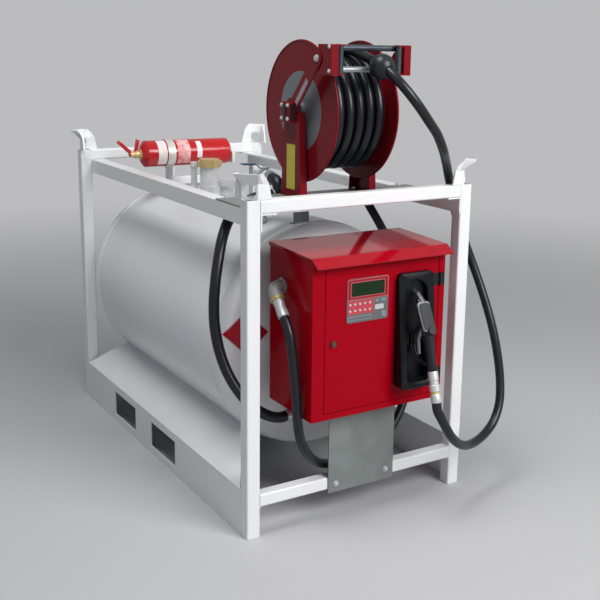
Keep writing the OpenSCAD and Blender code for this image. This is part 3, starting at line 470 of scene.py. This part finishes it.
bracket_zinc = finish_of("bracket_zinc", (0.30, 0.32, 0.33), (0.25, 0.27, 0.28), 0.45, 0.1, 14, 80, metal=0.4)
bracket = bmesh.new()
block(bracket, (bracket_left, bracket_front, bracket_foot),
      (bracket_right, bracket_front + bracket_t, bracket_foot + bracket_h), 0.001)
block(bracket, (bracket_left, bracket_front, bracket_foot),
      (bracket_right, bracket_front + bracket_leg, bracket_foot + bracket_t), 0.001)
piece("front_bracket", bracket, bracket_zinc, "frame")


# Cabinet
# Folded steel sheet in red gloss enamel. The door hangs on two black hinges and has a round bronze cam
# lock, and the hinges' satin black is also the reel shaft's.
red_gloss = finish_of("red_gloss", (0.335, 0.0012, 0.009), (0.315, 0.0012, 0.008), 0.11, 0.03, 3, 30,
                      bump=0, gleam=0.05)
roof_gloss = finish_of("roof_gloss", (0.33, 0.0015, 0.010), (0.31, 0.0015, 0.009), 0.07, 0.02, 3, 30,
                       bump=0, gleam=0.35)
satin_black = finish_of("satin_black", (0.008, 0.008, 0.009), (0.014, 0.014, 0.016), 0.42, 0.12, 12, 160,
                        gleam=0.25)
bright_steel = finish_of("bright_steel", (0.64, 0.65, 0.65), (0.54, 0.55, 0.56), 0.4, 0.12, 16, 120,
                         metal=0.55)
lock_bronze = finish_of("lock_bronze", (0.13, 0.085, 0.06), (0.09, 0.06, 0.045), 0.35, 0.1, 20, 120,
                        metal=0.5)
dress(red_gloss, "cabinet_body", "cabinet_door")
dress(roof_gloss, "cabinet_roof")
dress(satin_black, "door_hinges", "door_leaves", "reel_shaft")
dress(bright_steel, "suction_tail")
dress(lock_bronze, "door_lock")


# Outlet elbow
# Fat zinc casting screwed on a flange in the cabinet's left side, with a brass ring and the outlet hose's
# crimped steel ferrule under it.
elbow_y, elbow_z = -793, 925
knee, hose_mouth = at(-338, elbow_y, elbow_z), at(-340, -873, 841)
drop = hose_mouth - knee
elbow_sides = 28
cast_zinc = finish_of("cast_zinc", (0.42, 0.42, 0.41), (0.34, 0.34, 0.34), 0.45, 0.12, 20, 120, metal=0.3,
                      bump=0.0004)
elbow_brass = finish_of("elbow_brass", (0.62, 0.47, 0.20), (0.50, 0.38, 0.16), 0.34, 0.12, 14, 100, metal=0.4)


def elbow_part(name, stations, material, smooth):
    """A round part through stations, each a place and a radius in millimetres."""
    bm = bmesh.new()
    bent_tube(bm, [place for place, r in stations], [r / 1000 for place, r in stations], elbow_sides)
    return piece(name, bm, material, "frame", smooth)


def down_drop(*stations):
    """Stations from the knee to the hose's mouth, each as a share of the way and a radius."""
    return [(knee + drop * share, r) for share, r in stations]


flange = [(at(x, elbow_y, elbow_z), r) for x, r in ((-294, 30), (-302, 30), (-303, 24), (-314, 24))]
turn_down = [(at(-328, elbow_y - 3, elbow_z - 3), 25.5), (at(-337, elbow_y - 11, elbow_z - 12), 26)]
elbow = elbow_part("elbow_casting", flange + turn_down + down_drop((0.22, 25.5), (0.42, 24.5)), cast_zinc,
                   40)
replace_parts(elbow, "outlet_elbow")
elbow_part("elbow_ring", down_drop((0.42, 24.5), (0.43, 28), (0.50, 28), (0.51, 24.5)), elbow_brass,
           30)
elbow_part("elbow_ferrule", down_drop((0.51, 19), (0.52, 20.5), (0.66, 20.5), (0.68, 19.5), (0.78, 19.5),
                                      (0.80, 20.5), (0.90, 20.5), (0.92, 21.5), (1.12, 21.5), (1.13, 18.5)),
           bright_steel, 30)


# Keypad panel
# Grey membrane panel stuck on the door: a dark green window in a red line, two rows of five small keys on
# a red field, and a few larger plain ones. Each layer is given by its lift off the door's face.
door_face = -1005
panel_grey = finish_of("panel_grey", (0.15, 0.145, 0.15), (0.13, 0.125, 0.13), 0.4, 0.08, 10, 120, gleam=0.3)
panel_light = finish_of("panel_light", (0.52, 0.53, 0.55), (0.48, 0.49, 0.51), 0.4, 0.08, 10, 120)
display_green = finish_of("display_green", (0.008, 0.028, 0.008), (0.006, 0.022, 0.007), 0.25, 0.04, 10, 60,
                          gleam=0.2)
key_red = finish_of("key_red", (0.50, 0.06, 0.08), (0.46, 0.055, 0.07), 0.4, 0.1, 30, 120, gleam=0.3)
line_red = finish_of("line_red", (0.30, 0.006, 0.016), (0.28, 0.006, 0.014), 0.4, 0.1, 30, 120, gleam=0.2)
line_pink = finish_of("line_pink", (0.46, 0.11, 0.12), (0.42, 0.10, 0.11), 0.4, 0.1, 30, 120, gleam=0.3)
key_teal = finish_of("key_teal", (0.22, 0.27, 0.29), (0.19, 0.24, 0.26), 0.4, 0.1, 30, 120, gleam=0.3)


def tile(bm, x0, x1, z0, z1, y, thick, corner):
    """A flat pad in front of the plane at y, between two corners, with its four corners rounded."""
    middle = at((x0 + x1) / 2, y - thick / 2, (z0 + z1) / 2)
    size = Matrix.Diagonal(((x1 - x0) / 1000, thick / 1000, (z1 - z0) / 1000, 1))
    made = bmesh.ops.create_cube(bm, size=1, matrix=Matrix.Translation(middle) @ size)
    upright = [e for e in edges_of(made["verts"]) if abs((e.verts[0].co - e.verts[1].co).y) > thick * 0.0009]
    round_edges(bm, upright, corner / 1000, 4)


def tiles(name, boxes, lift, thick, corner, material):
    bm = bmesh.new()
    for box in boxes:
        tile(bm, *box, door_face - lift, thick, corner)
    return piece(name, bm, material, "door")


key_pitch, key_size = 21.5, (9, 8)
number_keys = [(x, x + key_size[0], z, z + key_size[1])
               for x in (-143 + key_pitch * i for i in range(5)) for z in (852, 876)]
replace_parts(tiles("keypad_plate", [(-152, 30, 811, 975)], 0, 3, 9, panel_grey), "keypad_panel")
tiles("display_surround", [(-151, 29, 896, 974)], 3, 1.0, 7, line_pink)
tiles("display_field", [(-147, 25, 900, 970)], 4, 0.6, 5, line_red)
tiles("display_line", [(-138, 14, 906, 964)], 4.6, 0.5, 4, line_pink)
tiles("display_window", [(-134, 10, 910, 960)], 5.1, 1.2, 3, display_green)
tiles("number_field", [(-148, -36, 842, 893)], 3, 0.6, 4, key_red)
tiles("number_keys", number_keys, 3.6, 1.2, 3, panel_light)
tiles("pale_keys", [(-30, 10, 850, 869)], 3, 1.4, 6, panel_light)
tiles("small_keys", [(-28, -12, 879, 890), (-4, 20, 879, 890), (0, 22, 820, 842)], 3, 1.2, 4, key_teal)
tiles("lower_field", [(-147, -44, 819, 835)], 3, 0.8, 3, key_teal)
tiles("lower_field_inner", [(-144, -47, 822, 832)], 3.8, 0.5, 2, panel_grey)


# Nozzle boot
# Moulded black plastic tray let into the door, with a rolled rim that leans out towards its foot. Its
# pocket has a round top for the spout, which hooks over a rest.
boot_x, boot_half, boot_low, boot_high = 146, 78, 532, 974
pocket_half, pocket_low, pocket_high, pocket_back = 52, 556, 946, -936
rim_corner, pocket_corner, pocket_arch = 16, 14, 50
boot_middle = 750
boot_plastic = finish_of("boot_plastic", (0.004, 0.005, 0.0065), (0.006, 0.007, 0.009), 0.34, 0.08, 8, 200,
                         gleam=0.2)


def boot_face(z):
    """How far forward the rim lies, 40 mm further at its foot than at its head."""
    return -1023 - 40 * (boot_high - z) / (boot_high - boot_low)


def boot_outline(half_w, low, high, corner, arch):
    """Outline points in X and Z: square with round corners, or with a full round top."""
    points = []
    corners = [(half_w - corner, low + corner, -90), (half_w - arch, high - arch, 0),
               (-half_w + arch, high - arch, 90), (-half_w + corner, low + corner, 180)]
    for (cx, cz, start), r in zip(corners, (corner, arch, arch, corner)):
        for k in range(9):
            a = math.radians(start + 90 * k / 8)
            points.append((cx + r * math.cos(a), cz + r * math.sin(a)))
    return points


def boot_loop(bm, outline, grow, depth, leans):
    """One closed loop of the tray: its outline grown a little, on a flat plane or along the leaning face."""
    verts = []
    for x, z in outline:
        wide, tall = x + math.copysign(grow, x), z + (grow if z > boot_middle else -grow)
        verts.append(bm.verts.new(at(boot_x + wide, boot_face(z) + depth if leans else depth, tall)))
    return [bm.edges.new(pair) for pair in zip(verts, verts[1:] + verts[:1])]


rim = boot_outline(boot_half, boot_low, boot_high, rim_corner, rim_corner)
pocket = boot_outline(pocket_half, pocket_low, pocket_high, pocket_corner, pocket_arch)
tray = bmesh.new()
stretch(tray, [boot_loop(tray, *station) for station in (
    (rim, 0, door_face, False), (rim, 0, 3, True), (rim, -3, 0, True),
    (pocket, 3, 0, True), (pocket, 0, 3, True), (pocket, -6, pocket_back, False))])
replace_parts(piece("boot_moulding", tray, boot_plastic, "door", 40), "nozzle_boot")
rest = bmesh.new()
tile(rest, 98, 194, 828, 838, -950, 44, 3)
piece("spout_rest", rest, boot_plastic, "door")


# Nozzle
# Automatic fuelling nozzle: a moulded black cover with a grey edge over its body, a rubber grip round the
# inlet, a loop guard round the trigger, and a bent steel spout. The trigger's grey is a painted highlight.
nozzle_x = 150
nozzle_foot = at(nozzle_x, -1168, 506)
nozzle_way = (at(nozzle_x, -1096, 770) - nozzle_foot).normalized()
grip_black = finish_of("grip_black", (0.010, 0.010, 0.012), (0.015, 0.015, 0.017), 0.4, 0.12, 14, 120,
                       gleam=0.3)
cover_black = finish_of("cover_black", (0.014, 0.018, 0.02), (0.018, 0.022, 0.024), 0.25, 0.08, 12, 100,
                        gleam=0.4)
grey_edge_and_painted_highlight = finish_of("grey_edge_and_painted_highlight", (0.32, 0.33, 0.34), (0.25, 0.26, 0.27), 0.35, 0.1, 30, 200)
spout_steel = finish_of("spout_steel", (0.16, 0.16, 0.17), (0.11, 0.11, 0.12), 0.34, 0.12, 16, 160, metal=0.6)


def lofted(bm, sections, sides=20):
    """A closed body through oval sections: each has a centre, a direction and its two half widths in mm."""
    rings = []
    for centre, way, half_x, half_y in sections:
        across = Vector((1, 0, 0)) if abs(way.x) < 0.9 else Vector((0, 1, 0))
        turn = Matrix((across, way.cross(across).normalized(), way)).transposed().to_4x4()
        rings.append(Matrix.Translation(centre) @ turn
                     @ Matrix.Diagonal((half_x / 1000, half_y / 1000, 1, 1)))
    skin(bm, rings, sides)


def nozzle_section(distance, half_x, half_y):
    """A section across the nozzle's inlet, this far up from the hose."""
    return nozzle_foot + nozzle_way * distance / 1000, nozzle_way, half_x, half_y


def cover_section(y, z, rise_y, rise_z, half_x, half_y):
    """A section across the nozzle's body, square to the way it rises."""
    return at(nozzle_x, y, z), Vector((0, rise_y, rise_z)).normalized(), half_x, half_y


def shield_plate(name, half_w, z0, z1, y0, y1, material):
    """A plate with four round corners, leaning with the cover and a little left of its middle."""
    bm = bmesh.new()
    place = Matrix.Translation(at(nozzle_x - 5, (y0 + y1) / 2, (z0 + z1) / 2))
    lean = Matrix.Rotation(math.radians(-27), 4, "X")
    thick = (y1 - y0) / 1000
    bmesh.ops.create_cube(bm, size=1, matrix=place @ lean
                          @ Matrix.Diagonal((half_w / 500, thick, (z1 - z0) / 1000, 1)))
    through = [e for e in bm.edges if abs((e.verts[0].co - e.verts[1].co).x) < 1e-6
               and abs(e.calc_length() - thick) < 1e-5]
    round_edges(bm, through, 0.013, 5)
    piece(name, bm, material, "door", 50)


grip = bmesh.new()
lofted(grip, [nozzle_section(*station) for station in (
    (118, 17, 17), (121, 19, 19), (150, 17.5, 19), (190, 18, 20), (225, 19, 22), (250, 21, 25),
    (262, 20, 24))])
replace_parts(piece("nozzle_grip", grip, grip_black, "door", 50), "nozzle")
cover = bmesh.new()
lofted(cover, [cover_section(*station) for station in (
    (-1100, 745, 0.27, 1, 17, 14), (-1099, 752, 0.27, 1, 22, 20), (-1090, 775, 0.4, 1, 23, 20),
    (-1075, 810, 0.5, 1, 23, 20), (-1058, 845, 0.6, 1, 22, 19), (-1046, 866, 1, 0.9, 20, 16),
    (-1036, 874, 1, 0.5, 14, 11))])
piece("nozzle_cover", cover, cover_black, "door", 50)
shield_plate("cover_edge", 27, 764, 876, -1096, -1088, grey_edge_and_painted_highlight)
shield_plate("cover_shield", 24, 768, 872, -1101, -1091, cover_black)
cup = bmesh.new()
cup_place = Matrix.Translation(at(nozzle_x, -1122, 773)) @ Matrix.Rotation(math.radians(63), 4, "X")
bmesh.ops.create_cone(cup, cap_ends=True, segments=28, radius1=0.019, radius2=0.016, depth=0.014,
                      matrix=cup_place)
piece("cover_cup", cup, grip_black, "door", 40)
guard = bmesh.new()
guard_line = [(-1130, 646), (-1100, 634), (-1060, 634), (-1026, 652), (-1008, 690), (-1012, 732),
              (-1040, 765), (-1076, 780)]
for one, other in zip(guard_line, guard_line[1:]):
    for x in (nozzle_x - 7, nozzle_x + 7):
        bead(guard, at(x, *one), at(x, *other), 0.0035)
piece("nozzle_guard", guard, grip_black, "door", 60)
trigger = bmesh.new()
trigger_line = [(-1066, 770), (-1044, 720), (-1052, 664)]
for one, other in zip(trigger_line, trigger_line[1:]):
    bead(trigger, at(nozzle_x, *one), at(nozzle_x, *other), 0.006)
# The trigger's pale grey is a painted highlight: it stands for the shine on the lever inside the guard.
piece("nozzle_trigger", trigger, grey_edge_and_painted_highlight, "door", 60)
spout = bmesh.new()
spout_line = [at(nozzle_x, y, z) for y,
              z in ((-1066, 864), (-1030, 890), (-1000, 896), (-984, 884), (-983, 839))]
for one, other in zip(spout_line, spout_line[1:]):
    bead(spout, one, other, 0.0115)
    bmesh.ops.create_uvsphere(spout, u_segments=16, v_segments=10, radius=0.0116,
                              matrix=Matrix.Translation(other))
piece("nozzle_spout", spout, spout_steel, "door", 60)


# Swivel and crimped ferrule
# Turned steel swivel under the grip with a wrench collar and a thin brass ring, and the hose's crimped
# sleeve below it.
brass = finish_of("brass", (0.70, 0.54, 0.25), (0.58, 0.44, 0.20), 0.34, 0.12, 14, 100, metal=0.35)


def swivel_part(name, stations, material):
    """A turned part on the nozzle's inlet, through pairs of distance from the hose and radius."""
    bm = bmesh.new()
    lofted(bm, [nozzle_section(distance, r, r) for distance, r in stations], 24)
    return piece(name, bm, material, "door", 30)


swivel = swivel_part("hose_swivel", ((0, 19), (2, 20), (30, 19.5), (36, 16), (42, 16), (44, 20.5), (66, 20.5),
                                     (69, 17.5), (84, 17.5), (86, 19.5), (112, 19.5), (118, 18)),
                     bright_steel)
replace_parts(swivel, "nozzle_swivel")
swivel_part("swivel_ring", ((34, 17.5), (35, 18.5), (41, 18.5), (42, 17.5)), brass)


# Hose reel
# Pressed and folded steel in deep red enamel: stands, drum and guide arms. The deck, the end plates and
# the cabinet's support plate are galvanised, and the rollers are plated tubes.
reel_red = finish_of("reel_red", (0.21, 0.008, 0.014), (0.185, 0.007, 0.012), 0.22, 0.05, 4, 30, bump=0,
                     gleam=0.12)
zinc = finish_of("zinc", (0.16, 0.18, 0.20), (0.20, 0.22, 0.24), 0.42, 0.1, 8, 60, metal=0.3)
plate_zinc = finish_of("plate_zinc", (0.22, 0.245, 0.235), (0.18, 0.20, 0.19), 0.5, 0.1, 10, 60, metal=0.2)
roller_dark = finish_of("roller_dark", (0.035, 0.045, 0.06), (0.05, 0.06, 0.075), 0.3, 0.1, 20, 90, metal=0.2)
roller_pale = finish_of("roller_pale", (0.36, 0.38, 0.40), (0.28, 0.30, 0.32), 0.3, 0.1, 20, 90, metal=0.5)
dress(reel_red, "reel_stand_left", "reel_stand_right", "reel_drum", "guide_frame")
dress(zinc, "reel_hub_plates")
dress(plate_zinc, "reel_deck", "support_plate")
dress(roller_dark, "top_roller", "left_side_roller", "right_side_roller")
dress(roller_pale, "lower_roller")


# Bolts
# Zinc-plated hexagon bolts on washers. Those on the guide's arms and brackets, in the stands' feet and in
# the deck are alike left and right; the bearing's are on the left, and the support plate's in front.
reel_y, reel_z = -630, 1547
bearing_face = -200
bearing_bolts = [(bearing_face, reel_y + dy, reel_z + dz) for dy in (-22, 22) for dz in (-25, 25)]
arm_bolts = [(177, -816, 1748)]
bracket_bolts = [(172, -892, z) for z in (1705, 1790)]
foot_bolts = [(157, y, 1228) for y in (reel_y - 60, reel_y + 60)]
deck_bolts = [(400, -540, 1224)]
plate_bolts = [(-118, -905, 139), (116, -905, 147)]
left, right, front, top = Vector((-1, 0, 0)), Vector((1, 0, 0)), Vector((0, -1, 0)), Vector((0, 0, 1))


def bolt(bm, place, way, head, high):
    """A washer and a hexagon head with a rounded rim, standing on a place and pointing along the way."""
    turn = way.to_track_quat("Z", "Y").to_matrix().to_4x4()
    for radius, depth, sides in ((head * 1.35, 0.0015, 20), (head, high + 0.0015, 6)):
        made = bmesh.ops.create_cone(bm, cap_ends=True, segments=sides, radius1=radius, radius2=radius,
                                     depth=depth, matrix=Matrix.Translation(place + way * depth / 2) @ turn)
    rim = [e for e in edges_of(made["verts"]) if all((v.co - place).dot(way) > high * 0.9 for v in e.verts)]
    round_edges(bm, rim, head * 0.12, 2)


bolts = bmesh.new()
for x, y, z in bearing_bolts:
    bolt(bolts, at(x, y, z), left, 0.006, 0.005)
for hand, outward in ((-1, left), (1, right)):
    for places, way, head, high in ((arm_bolts, outward, 0.010, 0.007),
                                    (bracket_bolts, outward, 0.006, 0.004),
                                    (foot_bolts, top, 0.008, 0.006),
                                    (deck_bolts, top, 0.008, 0.006)):
        for x, y, z in places:
            bolt(bolts, at(hand * x, y, z), way, head, high)
for x, y, z in plate_bolts:
    bolt(bolts, at(x, y, z), front, 0.009, 0.006)
piece("bolts", bolts, bright_steel, "frame", 30)


# Hub plate
# Red steel cap over the left bearing block, held by the four bolts, with a black strip between them.
hub_half_y, hub_half_z = 36, 38
hub_inner = -173
hub_plate = bmesh.new()
block(hub_plate, (bearing_face, reel_y - hub_half_y, reel_z - hub_half_z),
      (hub_inner, reel_y + hub_half_y, reel_z + hub_half_z), 0.0012)
piece("hub_plate", hub_plate, reel_red, "frame")
hub_strip = bmesh.new()
block(hub_strip, (bearing_face - 3, reel_y - 12, reel_z - 27),
      (bearing_face + 1, reel_y + 12, reel_z + 27), 0.001)
piece("hub_strip", hub_strip, satin_black, "frame")


# Stickers
# Two bare label plates of printed film, yellow on the left stand and grey along the left guide arm.
label_t = 0.0006
label_yellow = finish_of("label_yellow", (0.70, 0.58, 0.05), (0.64, 0.53, 0.05), 0.4, 0.08, 20, 90)
label_grey = finish_of("label_grey", (0.38, 0.33, 0.36), (0.33, 0.29, 0.31), 0.4, 0.08, 20, 90)


def sticker(name, x, y, z, long, wide, lean, material):
    bm = bmesh.new()
    turn = Matrix.Translation(at(x, y, z)) @ Matrix.Rotation(math.radians(lean), 4, "X")
    bmesh.ops.create_cube(bm, size=1, matrix=turn @ Matrix.Diagonal((label_t, wide, long, 1)))
    piece(name, bm, material, "frame")


sticker("stand_label", -172.3, reel_y, 1340, 0.170, 0.062, 0, label_yellow)
sticker("arm_label", -177.3, -712, 1624, 0.120, 0.020, 42, label_grey)


# Tank top
# Brass cap on an aluminium filler neck, an aluminium dip tube, and the extinguisher's red enamelled
# bottle lying across behind them.
alloy = finish_of("alloy", (0.82, 0.83, 0.84), (0.74, 0.75, 0.76), 0.32, 0.1, 8, 60, metal=0.2)
extinguisher_red = finish_of("extinguisher_red", (0.52, 0.008, 0.012), (0.48, 0.008, 0.011), 0.18, 0.06,
                             5, 60)
dress(brass, "filler_cap")
dress(alloy, "filler_neck", "dip_tube")
dress(extinguisher_red, "extinguisher_cylinder")


# Suction valve
# Ball valve on a painted riser: plated body with hexagon nuts, steel lever in a blue sleeve, and a black
# rubber bend clamped on its front end, from which the suction hose goes on.
valve_x, valve_y, valve_z = -150, -340, 1270
stem_y = -392
bend_r, bend_low, bend_front = 42, 1212, -500
blue_grip = finish_of("blue_grip", (0.06, 0.11, 0.28), (0.05, 0.09, 0.24), 0.35, 0.1, 20, 90, coat=0.3)


def turned(bm, start, way, profile, sides=28):
    """A turned part: pairs of distance along the way and radius, in millimetres."""
    lofted(bm, [(start + way * distance / 1000, way, r, r) for distance, r in profile], sides)


riser = bmesh.new()
turned(riser, at(valve_x, valve_y, 1086), top, [(0, 30), (34, 30), (36, 24), (40, 21), (166, 21), (168, 26),
                                                (206, 26), (211, 21)])
piece("valve_riser", riser, white_coat, "frame", 30)
body = bmesh.new()
turned(body, at(valve_x, valve_y, valve_z), front, [
    (16, 24), (18, 29), (30, 29), (32, 24), (36, 27), (42, 30), (62, 30), (68, 27), (72, 24), (74, 29),
    (88, 29), (90, 22), (100, 22)])
turned(body, at(valve_x, stem_y, valve_z + 22), top, [(0, 15), (6, 15), (7, 10), (13, 10)])
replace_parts(piece("valve_body", body, bright_steel, "frame", 30), "suction_valve")
bend = bmesh.new()
arc_angles = [math.radians(15 * k) for k in range(7)]
arc = [at(valve_x, -458 - bend_r * math.sin(a), valve_z - bend_r + bend_r * math.cos(a)) for a in arc_angles]
bend_line = [at(valve_x, -432, valve_z)] + arc + [
    at(valve_x, bend_front, 1222), at(-154, bend_front, 1216), at(-162, bend_front, bend_low),
    at(-189, bend_front, bend_low)]
bent_tube(bend, bend_line, [0.0235] * len(bend_line))
piece("valve_bend", bend, cuff_rubber, "frame", 40)
clamps = bmesh.new()
turned(clamps, at(valve_x, -436, valve_z), front, [(0, 23), (0.5, 25.5), (8, 25.5), (8.5, 23)])
turned(clamps, at(-176, bend_front, bend_low), left, [(0, 22), (0.5, 25.5), (8, 25.5), (8.5, 22)])
piece("bend_clamps", clamps, bright_steel, "frame", 30)
lever = bmesh.new()
lever_line = [(-138, 0), (-176, 0), (-196, 17), (-262, 20)]
for (x0, z0), (x1, z1) in zip(lever_line, lever_line[1:]):
    place = Matrix.Translation(at((x0 + x1) / 2, stem_y, 1306 + (z0 + z1) / 2))
    tilt = Matrix.Rotation(math.atan2(z1 - z0, x0 - x1), 4, "Y")
    size = Matrix.Diagonal((math.hypot(x1 - x0, z1 - z0) / 1000 + 0.002, 0.019, 0.004, 1))
    bmesh.ops.create_cube(lever, size=1, matrix=place @ tilt @ size)
turned(lever, at(valve_x, stem_y, 1304), top, [(0, 9), (0.5, 11), (6, 11), (7, 9)])
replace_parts(piece("lever_bar", lever, bright_steel, "lever", 30), "valve_lever")
sleeve = bmesh.new()
sleeve_tilt = Matrix.Rotation(math.atan2(3, 66), 4, "Y")
bmesh.ops.create_cube(sleeve, size=1, matrix=Matrix.Translation(at(-231, stem_y, 1325.2)) @ sleeve_tilt
                      @ Matrix.Diagonal((0.062, 0.022, 0.008, 1)))
round_edges(sleeve, sleeve.edges[:], 0.003, 3)
piece("lever_sleeve", sleeve, blue_grip, "lever", 40)


# Extinguisher's head
# Brass body with a collar, screwed into the bottle's left end, and two red steel squeeze levers spread
# open above it.
bottle_y, bottle_z = 600, 1264
head = bmesh.new()
turned(head, at(-297, bottle_y, bottle_z), left, [(-6, 30), (0, 22), (4, 16), (12, 16), (13, 20), (22, 20),
                                                  (23, 15), (44, 15), (46, 12)])
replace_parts(piece("extinguisher_neck", head, brass, "frame", 30), "extinguisher_valve")
levers = bmesh.new()
for (x0, z0), (x1, z1), wide in (((-318, 1262), (-303, 1334), 0.018), ((-330, 1262), (-402, 1328), 0.018),
                                 ((-306, 1266), (-348, 1262), 0.022)):
    place = Matrix.Translation(at((x0 + x1) / 2, bottle_y, (z0 + z1) / 2))
    tilt = Matrix.Rotation(math.atan2(x1 - x0, z1 - z0), 4, "Y")
    size = Matrix.Diagonal((0.016, wide, math.hypot(x1 - x0, z1 - z0) / 1000, 1))
    bmesh.ops.create_cube(levers, size=1, matrix=place @ tilt @ size)
round_edges(levers, levers.edges[:], 0.003, 2)
piece("extinguisher_levers", levers, extinguisher_red, "frame", 40)


# Labels, strap and saddle
# Bare paper labels round the bottle, one bright steel strap that holds it, the white saddle of bent sheet
# that it lies in, and the clip behind its foot.
label_r, strap_r = 63.5, 66.0
sheet = 0.0006
label_white = finish_of("label_white", (0.86, 0.84, 0.83), (0.82, 0.74, 0.72), 0.4, 0.08, 12, 90, gleam=0.3)
label_pink = finish_of("label_pink", (0.84, 0.56, 0.54), (0.72, 0.16, 0.16), 0.4, 0.08, 34, 90, gleam=0.3)
strap_steel = finish_of("strap_steel", (0.74, 0.74, 0.70), (0.62, 0.62, 0.59), 0.34, 0.1, 16, 90, metal=0.3)


def sleeve_patch(name, x0, x1, from_top, to_front, radius, material):
    """A thin curved patch round the bottle, between two angles measured from straight up to the front."""
    bm = bmesh.new()
    first = math.radians(from_top)
    line = [bm.verts.new(at(x, bottle_y - radius * math.sin(first), bottle_z + radius * math.cos(first)))
            for x in (x0, x1)]
    bmesh.ops.spin(bm, geom=line + [bm.edges.new(line)], cent=at(0, bottle_y, bottle_z), axis=(1, 0, 0),
                   angle=math.radians(to_front - from_top), steps=int((to_front - from_top) / 6))
    bmesh.ops.solidify(bm, geom=bm.faces[:], thickness=-sheet)
    bmesh.ops.recalc_face_normals(bm, faces=bm.faces)
    return piece(name, bm, material, "frame", 50)


sleeve_patch("label_left", -222, -178, 10, 140, label_r, label_white)
sleeve_patch("label_middle", -122, -58, 10, 140, label_r, label_pink)
sleeve_patch("label_bar", -22, 4, 30, 110, label_r, label_white)
strap = sleeve_patch("extinguisher_strap", -172, -134, -179, 179, strap_r, strap_steel)
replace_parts(strap, "extinguisher_bracket")
saddle_left, saddle_right = -141, 60
saddle_front, saddle_rear = bottle_y - 48, bottle_y + 48
saddle = bmesh.new()
for x in (saddle_left, saddle_right):
    block(saddle, (x - 4, saddle_front, 1050), (x + 4, saddle_rear, 1202), 0.0015)
block(saddle, (saddle_left, saddle_front, 1116), (saddle_right, saddle_front + 5, 1154), 0.0015)
piece("extinguisher_saddle", saddle, white_coat, "frame")
clip = bmesh.new()
block(clip, (168, 541, 1206), (186, 596, 1262), 0.002)
piece("extinguisher_clip", clip, strap_steel, "frame")
